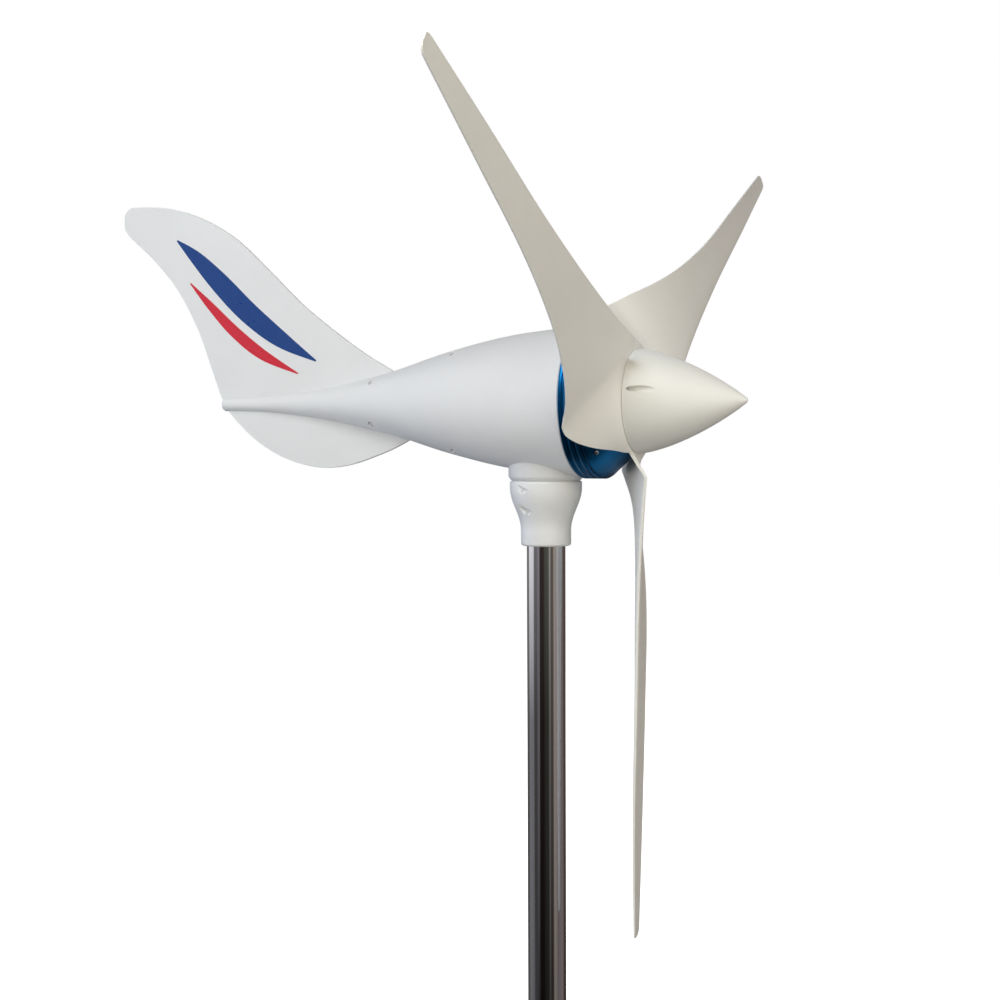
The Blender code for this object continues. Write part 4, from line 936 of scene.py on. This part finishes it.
def make_front_housing():
    spigot_rear, spigot_radius = SPIGOT
    outline = [(HOUSING_INNER, spigot_rear), (spigot_radius, spigot_rear), (spigot_radius, HOUSING_REAR)]
    inset, run = HOUSING_REAR_ROUND
    for step in range(4):
        bend = pi / 2 * step / 3
        outline.append((HOUSING_RADIUS - inset * (1 - sin(bend)), HOUSING_REAR + run * (1 - cos(bend))))
    lip, wall, corner = 0.0003, 0.0004, 0.0008
    bottom = HOUSING_RADIUS - GROOVE_DEPTH
    for centre in GROOVES:
        low, high = centre - GROOVE_WIDTH / 2, centre + GROOVE_WIDTH / 2
        outline += [(HOUSING_RADIUS, low - lip), (HOUSING_RADIUS - lip, low)]
        outline += [(bottom + lip, low + wall), (bottom, low + corner)]
        outline += [(bottom, high - corner), (bottom + lip, high - wall)]
        outline += [(HOUSING_RADIUS - lip, high), (HOUSING_RADIUS, high + lip)]
    outline.append((HOUSING_RADIUS, CONE_START - 0.0006))
    for along in (CONE_START + corner, HOUSING_FRONT - corner):
        outline.append((housing_radius(along), along))
    outline.append((housing_radius(HOUSING_FRONT) - corner, HOUSING_FRONT))
    seat_radius = SHAFT_SEAT[0]
    seat_rear, seat_front = HOUSING_SEAT
    outline += [(SHAFT_HOLE, HOUSING_FRONT), (SHAFT_HOLE, seat_front), (seat_radius, seat_front)]
    outline += [(seat_radius, seat_rear), (BOSS_RADIUS, seat_rear)]
    wall_rear = HOUSING_FRONT - HOUSING_FRONT_WALL
    wall_radius = HOUSING_INNER - CONE_SLOPE * (wall_rear - CONE_START)
    outline += [(BOSS_RADIUS, wall_rear), (wall_radius, wall_rear), (HOUSING_INNER, CONE_START)]
    lean = Vector((CONE_SLOPE, 1.0)).normalized()
    holes = []
    for number in range(4):
        direction = pi / 2 * (number + 0.5)
        outward = around(direction, lean.y, lean.x)
        surface = around(direction, housing_radius(HOUSING_SCREW_STATION), HOUSING_SCREW_STATION)
        start, end = surface + outward * PAST, surface - outward * HOUSING_SCREW_HOLE
        holes.append(rod(start, end, HOUSING_SCREW[2] + GAP))
        seat = surface + outward * GAP
        screw(f"housing_screw_{number + 1}", seat, -outward, HOUSING_SCREW, HOUSING_SCREW_LENGTH, "head")
    shape = less(turned(outline, "X"), *holes)
    piece("front_housing_skin", shape, "head", "blue_paint", ["front_housing"], sharp=45)


# Rotor


def blade_directions():
    centre = (ROOT_LEADING + ROOT_TRAILING) / 2
    for number in range(BLADE_COUNT):
        for side, sign in (("leading", -1), ("trailing", 1)):
            yield number, side, 2 * pi * number / BLADE_COUNT + centre + sign * BOLT_SPREAD


def scoop_directions():
    for number in range(BLADE_COUNT):
        yield number, number * 2 * pi / BLADE_COUNT + SCOOP_DIRECTION


def make_hub():
    bolt_hole = BLADE_BOLT[2] + GAP
    seat_along = CLAMP_PLATE_HIGH.x + GAP
    for node, low, high in (
        ("hub_rear_plate", REAR_PLATE_LOW, REAR_PLATE_HIGH),
        ("hub_clamp_plate", CLAMP_PLATE_LOW, CLAMP_PLATE_HIGH),
    ):
        radius = (high.z - low.z) / 2
        edge = 0.0004
        profile = [(PLATE_BORE, low.x), (radius - edge, low.x), (radius, low.x + edge)]
        profile += [(radius, high.x - edge), (radius - edge, high.x), (PLATE_BORE, high.x)]
        holes = []
        start, end = low.x - PAST, high.x + PAST
        for _, _, direction in blade_directions():
            holes.append(drill(direction, BOLT_RING, start, end, bolt_hole))
        if node == "hub_clamp_plate":
            for _, direction in scoop_directions():
                holes.append(drill(direction, SPINNER_SCREW_RING, start, end, SPINNER_SCREW[2] + GAP))
        piece(f"{node}_skin", less(turned(profile, "X"), *holes), "rotor", "alloy", [node])
    for number, side, direction in blade_directions():
        seat = around(direction, BOLT_RING, seat_along)
        length = seat_along - REAR_PLATE_LOW.x - GAP
        screw(f"blade_bolt_{number + 1}_{side}", seat, (-1, 0, 0), BLADE_BOLT, length, "rotor")


def spinner_radius(along):
    """The spinner's outer radius: an ogive closed by a small ball at the nose."""
    share = max(0.0, min(1.0, (along - SPINNER_BASE) / OGIVE_LENGTH))
    ogive = SPINNER_RADIUS * (1 - share**OGIVE_POWERS[0]) ** OGIVE_POWERS[1]
    depth = max(0.0, SPINNER_BASE + SPINNER_LENGTH - along)
    ball = sqrt(depth * (2 * NOSE_BALL - depth)) if depth < NOSE_BALL / 2 else ogive
    return min(ogive, ball)


def make_spinner():
    steps = 44
    rim = 0.0006
    nose = SPINNER_BASE + SPINNER_LENGTH
    places = [SPINNER_BASE + SPINNER_LENGTH * sin(pi / 2 * step / steps) for step in range(steps)]
    outline = [(0.0, SPINNER_BASE), (SPINNER_RADIUS - rim, SPINNER_BASE)]
    outline += [(spinner_radius(along), along) for along in places if along > SPINNER_BASE + rim]
    outline.append((0.0, nose))
    hollow = [(0.0, SPINNER_BASE - PAST), (SPINNER_RADIUS - SPINNER_WALL, SPINNER_BASE - PAST)]
    reach = [along for along in places if spinner_radius(along) > SPINNER_WALL + 0.002]
    hollow += [(spinner_radius(along) - SPINNER_WALL, along) for along in reach]
    hollow.append((0.0, reach[-1]))
    lug_radius, lug_front = LUG
    lug_rear = CLAMP_PLATE_HIGH.x + GAP
    lugs = []
    scoops = []
    hole_rear, hole_front = SPINNER_BASE - PAST, SCOOP_FLOOR + 2 * GAP
    for number, direction in scoop_directions():
        lugs.append(drill(direction, SCOOP_RING, lug_rear, lug_front, lug_radius))
        scoops.append(drill(direction, SCOOP_RING, SCOOP_FLOOR, lug_front, SCOOP_RADIUS))
        scoops.append(drill(direction, SPINNER_SCREW_RING, hole_rear, hole_front, SPINNER_SCREW[2] + GAP))
        seat = around(direction, SPINNER_SCREW_RING, SCOOP_FLOOR + GAP)
        length = SCOOP_FLOOR - CLAMP_PLATE_LOW.x
        screw(f"spinner_screw_{number + 1}", seat, (-1, 0, 0), SPINNER_SCREW, length, "rotor")
    shape = less(turned(outline, "X"), less(turned(hollow, "X"), *lugs))
    shape = less(shape, *scoops)
    piece("spinner_skin", shape, "rotor", "cream_plastic", ["spinner"])


def polar(direction, radius, along):
    """A blade-frame point (axial, span, tangential) from a direction measured from the span."""
    return Vector((along, radius * cos(direction), radius * sin(direction)))


def blade_row(leading, trailing, bulge, thickness, shaped, shares):
    """One row of the blade's middle surface, from even thickness (shaped 0) to an airfoil section (1)."""
    root_leading = polar(ROOT_LEADING, ROOT_RING, PALM_CENTRE)
    root_trailing = polar(ROOT_TRAILING, ROOT_RING, PALM_CENTRE)
    chord = (trailing - leading).length
    row = []
    for share in shares:
        point = leading.lerp(trailing, share)
        arc = polar(ROOT_LEADING + (ROOT_TRAILING - ROOT_LEADING) * share, ROOT_RING, PALM_CENTRE)
        point = point + bulge * (arc - root_leading.lerp(root_trailing, share))
        point.x -= shaped * BLADE_CAMBER * chord * 4 * share * (1 - share)
        section = SECTION_PEAK * sqrt(share) * (1 - share)
        depth = BLADE_EDGE_THICKNESS + (thickness - BLADE_EDGE_THICKNESS) * section
        row.append((point, (1 - shaped) * PALM_THICKNESS + shaped * depth))
    return row


def palm_row(radius, shares):
    margin = asin(GAP / radius)
    start, end = ROOT_LEADING + margin, ROOT_TRAILING - margin
    points = [polar(start + (end - start) * share, radius, PALM_CENTRE) for share in shares]
    return [(point, PALM_THICKNESS) for point in points]


def blade_rows(shares, skirt_steps, spans):
    rows = [palm_row(radius, shares) for radius in PALM_RINGS]
    station = BLADE_STATIONS[0]
    first = Vector((station[1], station[0], station[2]))
    root_leading = polar(ROOT_LEADING + asin(GAP / ROOT_RING), ROOT_RING, PALM_CENTRE)
    for step in range(skirt_steps + 1):
        share = step / skirt_steps
        leading = root_leading.lerp(first, share)
        radius, direction, along = read(SKIRT_TRAILING, share)
        trailing = polar(direction - asin(GAP / radius), radius, along)
        bulge = (1 - share) ** ROOT_BULGE_POWER
        rows.append(blade_row(leading, trailing, bulge, BLADE_THICKNESS[0][1], share**2, shares))
    for span in spans:
        leading_x, leading_t, trailing_x, trailing_t = read(BLADE_STATIONS, span)
        leading = Vector((leading_x, span, leading_t))
        trailing = Vector((trailing_x, span, trailing_t))
        corner = 1 - sqrt(1 - max(0.0, 1 - (ROTOR_RADIUS - span) / TIP_ROUND) ** 2)
        first, last = TIP_CORNERS[0] * corner, 1 - TIP_CORNERS[1] * corner
        leading, trailing = leading.lerp(trailing, first), leading.lerp(trailing, last)
        rows.append(blade_row(leading, trailing, 0.0, read(BLADE_THICKNESS, span)[0], 1.0, shares))
    return rows


def blade_shape(shares, skirt_steps, spans):
    """Closes the front and rear skins, half the thickness either side of the middle surface."""
    rows = blade_rows(shares, skirt_steps, spans)
    last_row, last_share = len(rows) - 1, len(shares) - 1
    shape = bmesh.new()
    skins = {1: [], -1: []}
    for i, row in enumerate(rows):
        line = {1: [], -1: []}
        for j, (point, depth) in enumerate(row):
            along = rows[min(i + 1, last_row)][j][0] - rows[max(i - 1, 0)][j][0]
            across = row[min(j + 1, last_share)][0] - row[max(j - 1, 0)][0]
            normal = across.cross(along).normalized()
            for side in (1, -1):
                x, s, t = point + normal * (side * depth / 2)
                line[side].append(shape.verts.new((x, t, -s)))
        for side in (1, -1):
            skins[side].append(line[side])
    for i in range(last_row):
        for j in range(last_share):
            for side in (1, -1):
                skin = skins[side]
                shape.faces.new((skin[i][j], skin[i + 1][j], skin[i + 1][j + 1], skin[i][j + 1]))
    front, back = skins[1], skins[-1]
    for i in range(last_row):
        for j in (0, last_share):
            shape.faces.new((front[i][j], front[i + 1][j], back[i + 1][j], back[i][j]))
    for j in range(last_share):
        for i in (0, last_row):
            shape.faces.new((front[i][j], front[i][j + 1], back[i][j + 1], back[i][j]))
    return shape


def make_blades():
    across = 22
    skirt_steps = 14
    shares = [(1 - cos(pi * step / across)) / 2 for step in range(across + 1)]
    spans = [SPAN_START + SPAN_STEP * step for step in range(SPAN_COUNT)] + list(TIP_SPANS)
    low, high, radius = REAR_PLATE_LOW.x, CLAMP_PLATE_HIGH.x, BLADE_BOLT[2] + GAP
    looks = {"bevel": 0.0006, "bevel_angle": 50, "sharp": 50}
    for number in range(BLADE_COUNT):
        turn = Matrix.Rotation(2 * pi * number / BLADE_COUNT, 4, "X")
        shape = moved(blade_shape(shares, skirt_steps, spans), turn)
        holes = []
        for blade, _, direction in blade_directions():
            if blade == number:
                holes.append(drill(direction, BOLT_RING, low, high, radius))
        node = f"blade_{number + 1}"
        piece(f"{node}_skin", less(shape, *holes), "rotor", "cream_plastic", [node], **looks)


def paint_cad_nodes():
    """Gives every node that stays, such as the bearings and the alternator's inside, its finish."""
    slots = {entry["node"]: entry["material_slot"] for entry in frame["record"]["subparts"]}
    for name, obj in frame["nodes"].items():
        if obj.hide_render:
            continue
        obj.data.materials.clear()
        obj.data.materials.append(LOOKS[slots[name]])
        if not name.endswith("ball_cage"):
            soften(obj, 0.0002, 2, 50)


# Studio

CAMERA_TURN = radians(23.86)
CAMERA_PITCH = radians(2.475)
CAMERA_ROLL = radians(-0.21)
CAMERA_PLACE = Vector((0.7776, -1.8888, -0.0242))
CAMERA_LENS = 63.96


def view_axes():
    """The camera's right, up and back directions."""
    right = Vector((cos(CAMERA_TURN), sin(CAMERA_TURN), 0.0))
    level = cos(CAMERA_PITCH)
    back = Vector((sin(CAMERA_TURN) * level, -cos(CAMERA_TURN) * level, sin(CAMERA_PITCH)))
    up = back.cross(right)
    rolled = cos(CAMERA_ROLL) * right + sin(CAMERA_ROLL) * up
    return rolled, back.cross(rolled), back


def make_camera():
    right, up, back = view_axes()
    data = bpy.data.cameras.new("camera")
    data.lens = CAMERA_LENS
    data.sensor_width = 36.0
    data.clip_end = 60.0
    camera = linked("camera", data)
    turn = Matrix((right, up, back)).transposed().to_4x4()
    camera.matrix_world = Matrix.Translation(HUB + CAMERA_PLACE) @ turn
    bpy.context.scene.camera = camera


def from_view(right_share, up_share, back_share):
    """A point near the hub, offset along the camera's axes, in metres."""
    right, up, back = view_axes()
    return HUB + right * right_share + up * up_share + back * back_share


# Soft boxes, each as its direction and height from the view in degrees, its power in each colour in
# watts, and whether reflections show it
SOFT_BOXES = {
    "key": (-20, 45, (35.0, 36.5, 37.5), True),
    "front_left": (-60, 10, (15.0, 15.6, 17.0), False),
    "front": (-20, 10, (12.5, 11.0, 8.5), False),
    "front_right": (20, 10, (13.0, 13.4, 11.0), False),
    "warm_right": (60, 10, (20.0, 17.7, 16.0), True),
    "cool_low": (-105, -25, (48.0, 62.0, 90.0), False),
    "back_left": (-160, 30, (16.0, 16.5, 17.0), False),
    "back_right": (155, 30, (18.0, 18.0, 18.0), False),
}
SOFT_BOX_SIZE = 1.4
SOFT_BOX_REACH = 2.7


def soft_box(name, degrees, height, power, reflected):
    side, rise = radians(degrees), radians(height)
    level = SOFT_BOX_REACH * cos(rise)
    place = from_view(level * sin(side), SOFT_BOX_REACH * sin(rise), level * cos(side))
    data = bpy.data.lights.new(name, "AREA")
    data.shape = "SQUARE"
    data.size = SOFT_BOX_SIZE
    data.energy = max(power)
    data.color = [channel / max(power) for channel in power]
    light = linked(name, data)
    turn = (HUB - place).to_track_quat("-Z", "Y").to_matrix().to_4x4()
    light.matrix_world = Matrix.Translation(place) @ turn
    light.visible_camera = False
    light.visible_glossy = reflected


def stage_material(name, colour, strength):
    material = bpy.data.materials.new(name)
    material.cycles.emission_sampling = "NONE"
    material.use_nodes = True
    shader = material.node_tree.nodes["Principled BSDF"]
    shader.inputs["Base Color"].default_value = (*colour, 1.0)
    shader.inputs["Roughness"].default_value = 0.9
    shader.inputs["Emission Color"].default_value = (1.0, 1.0, 1.0, 1.0)
    shader.inputs["Emission Strength"].default_value = strength
    return material


# Studio wall panels seen only in reflections: the direction from the view in degrees, the colour of the
# upper wall, and the shares of it that the middle and the low wall keep
PANELS = (
    (-180, (0.20, 0.19, 0.18), 0.50, 0.40),
    (-128, (0.30, 0.29, 0.30), 0.40, 0.35),
    (-118, (1.40, 1.38, 1.48), 0.17, 0.14),
    (-84, (1.20, 1.20, 1.30), 0.18, 0.12),
    (-76, (0.24, 0.24, 0.25), 0.30, 0.25),
    (-59, (0.24, 0.24, 0.25), 0.30, 0.22),
    (-55, (0.34, 0.32, 0.36), 0.50, 0.05),
    (-44, (0.34, 0.32, 0.36), 0.50, 0.05),
    (-39, (0.054, 0.040, 0.036), 0.30, 0.10),
    (-16, (0.060, 0.045, 0.040), 0.30, 0.10),
    (-10, (0.11, 0.11, 0.10), 0.27, 0.10),
    (12, (0.14, 0.14, 0.13), 0.30, 0.10),
    (18, (0.50, 0.50, 0.48), 0.35, 0.10),
    (22, (0.50, 0.50, 0.48), 0.35, 0.10),
    (26, (0.17, 0.145, 0.125), 0.50, 0.10),
    (38, (0.17, 0.145, 0.125), 0.50, 0.10),
    (44, (0.43, 0.38, 0.34), 0.80, 0.50),
    (58, (0.43, 0.38, 0.34), 0.80, 0.50),
    (66, (0.34, 0.30, 0.32), 0.80, 0.40),
    (90, (0.24, 0.20, 0.20), 0.90, 0.90),
    (112, (0.22, 0.19, 0.19), 0.90, 0.90),
    (122, (0.13, 0.10, 0.085), 0.80, 0.35),
    (180, (0.10, 0.070, 0.060), 0.80, 0.50),
)
PANEL_HEIGHTS = (-4.0, -1.4, -0.3, 0.45, 5.0)


def make_surround():
    """A ring of dark and light studio panels round the object, which only reflections see."""
    shape = bmesh.new()
    radius = 4.0
    _, _, back = view_axes()
    columns = []
    for degrees, colour, middle, low in PANELS:
        turn = Matrix.Rotation(radians(degrees), 3, "Z")
        away = (turn @ Vector((back.x, back.y, 0)).normalized()) * radius
        corners = [shape.verts.new((away.x, away.y, height)) for height in PANEL_HEIGHTS]
        tones = [(*toned(colour, share), 1.0) for share in (low, low, middle, 1.0, 1.0)]
        columns.append(list(zip(corners, tones)))
    layer = shape.loops.layers.float_color.new("panel")
    for left, right in zip(columns, columns[1:]):
        for i in range(len(PANEL_HEIGHTS) - 1):
            corners = (left[i], right[i], right[i + 1], left[i + 1])
            face = shape.faces.new([corner for corner, _ in corners])
            for loop, (_, tone) in zip(face.loops, corners):
                loop[layer] = tone
    surround = linked("surround", as_mesh("surround", shape))
    material = bpy.data.materials.new("surround_panels")
    material.cycles.emission_sampling = "NONE"
    material.use_nodes = True
    tree = material.node_tree
    tree.nodes.clear()
    colour = tree.nodes.new("ShaderNodeAttribute")
    colour.attribute_name = "panel"
    glow = tree.nodes.new("ShaderNodeEmission")
    output = tree.nodes.new("ShaderNodeOutputMaterial")
    tree.links.new(colour.outputs["Color"], glow.inputs["Color"])
    tree.links.new(glow.outputs["Emission"], output.inputs["Surface"])
    surround.data.materials.append(material)
    surround.visible_camera = False
    surround.visible_diffuse = False
    surround.visible_shadow = False
    surround.visible_transmission = False


def make_floor():
    """A plain white floor for the camera, and under it a pale card that throws light back up."""
    for name, drop, colour, glow in (("floor", 0.0005, 0.9, 1.0), ("floor_card", 0.0020, 0.40, 0.0)):
        shape = bmesh.new()
        bmesh.ops.create_grid(shape, x_segments=1, y_segments=1, size=14.0)
        floor = linked(name, as_mesh(name, shape))
        floor.data.materials.append(stage_material(name, (colour, colour, colour), glow))
        floor.location = (0, 0, TUBE_LOW.z - drop)
        floor.visible_camera = glow > 0
        floor.visible_diffuse = glow == 0
        floor.visible_glossy = False
        floor.visible_shadow = glow == 0


def make_studio():
    world = bpy.data.worlds.new("studio")
    bpy.context.scene.world = world
    world.use_nodes = True
    sky = world.node_tree.nodes["Background"]
    sky.inputs["Color"].default_value = (1.0, 1.0, 1.0, 1.0)
    sky.inputs["Strength"].default_value = 1.0
    world.cycles_visibility.diffuse = False
    world.cycles_visibility.glossy = False
    world.cycles_visibility.transmission = False
    for name, settings in SOFT_BOXES.items():
        soft_box(name, *settings)
    make_surround()
    make_floor()
    make_camera()
    bpy.context.scene.view_settings.view_transform = "Standard"


make_tube()
make_sleeve()
make_yaw_head()
make_nacelle()
make_tail_fin()
make_stripes()
make_front_housing()
make_hub()
make_spinner()
make_blades()
paint_cad_nodes()
make_studio()
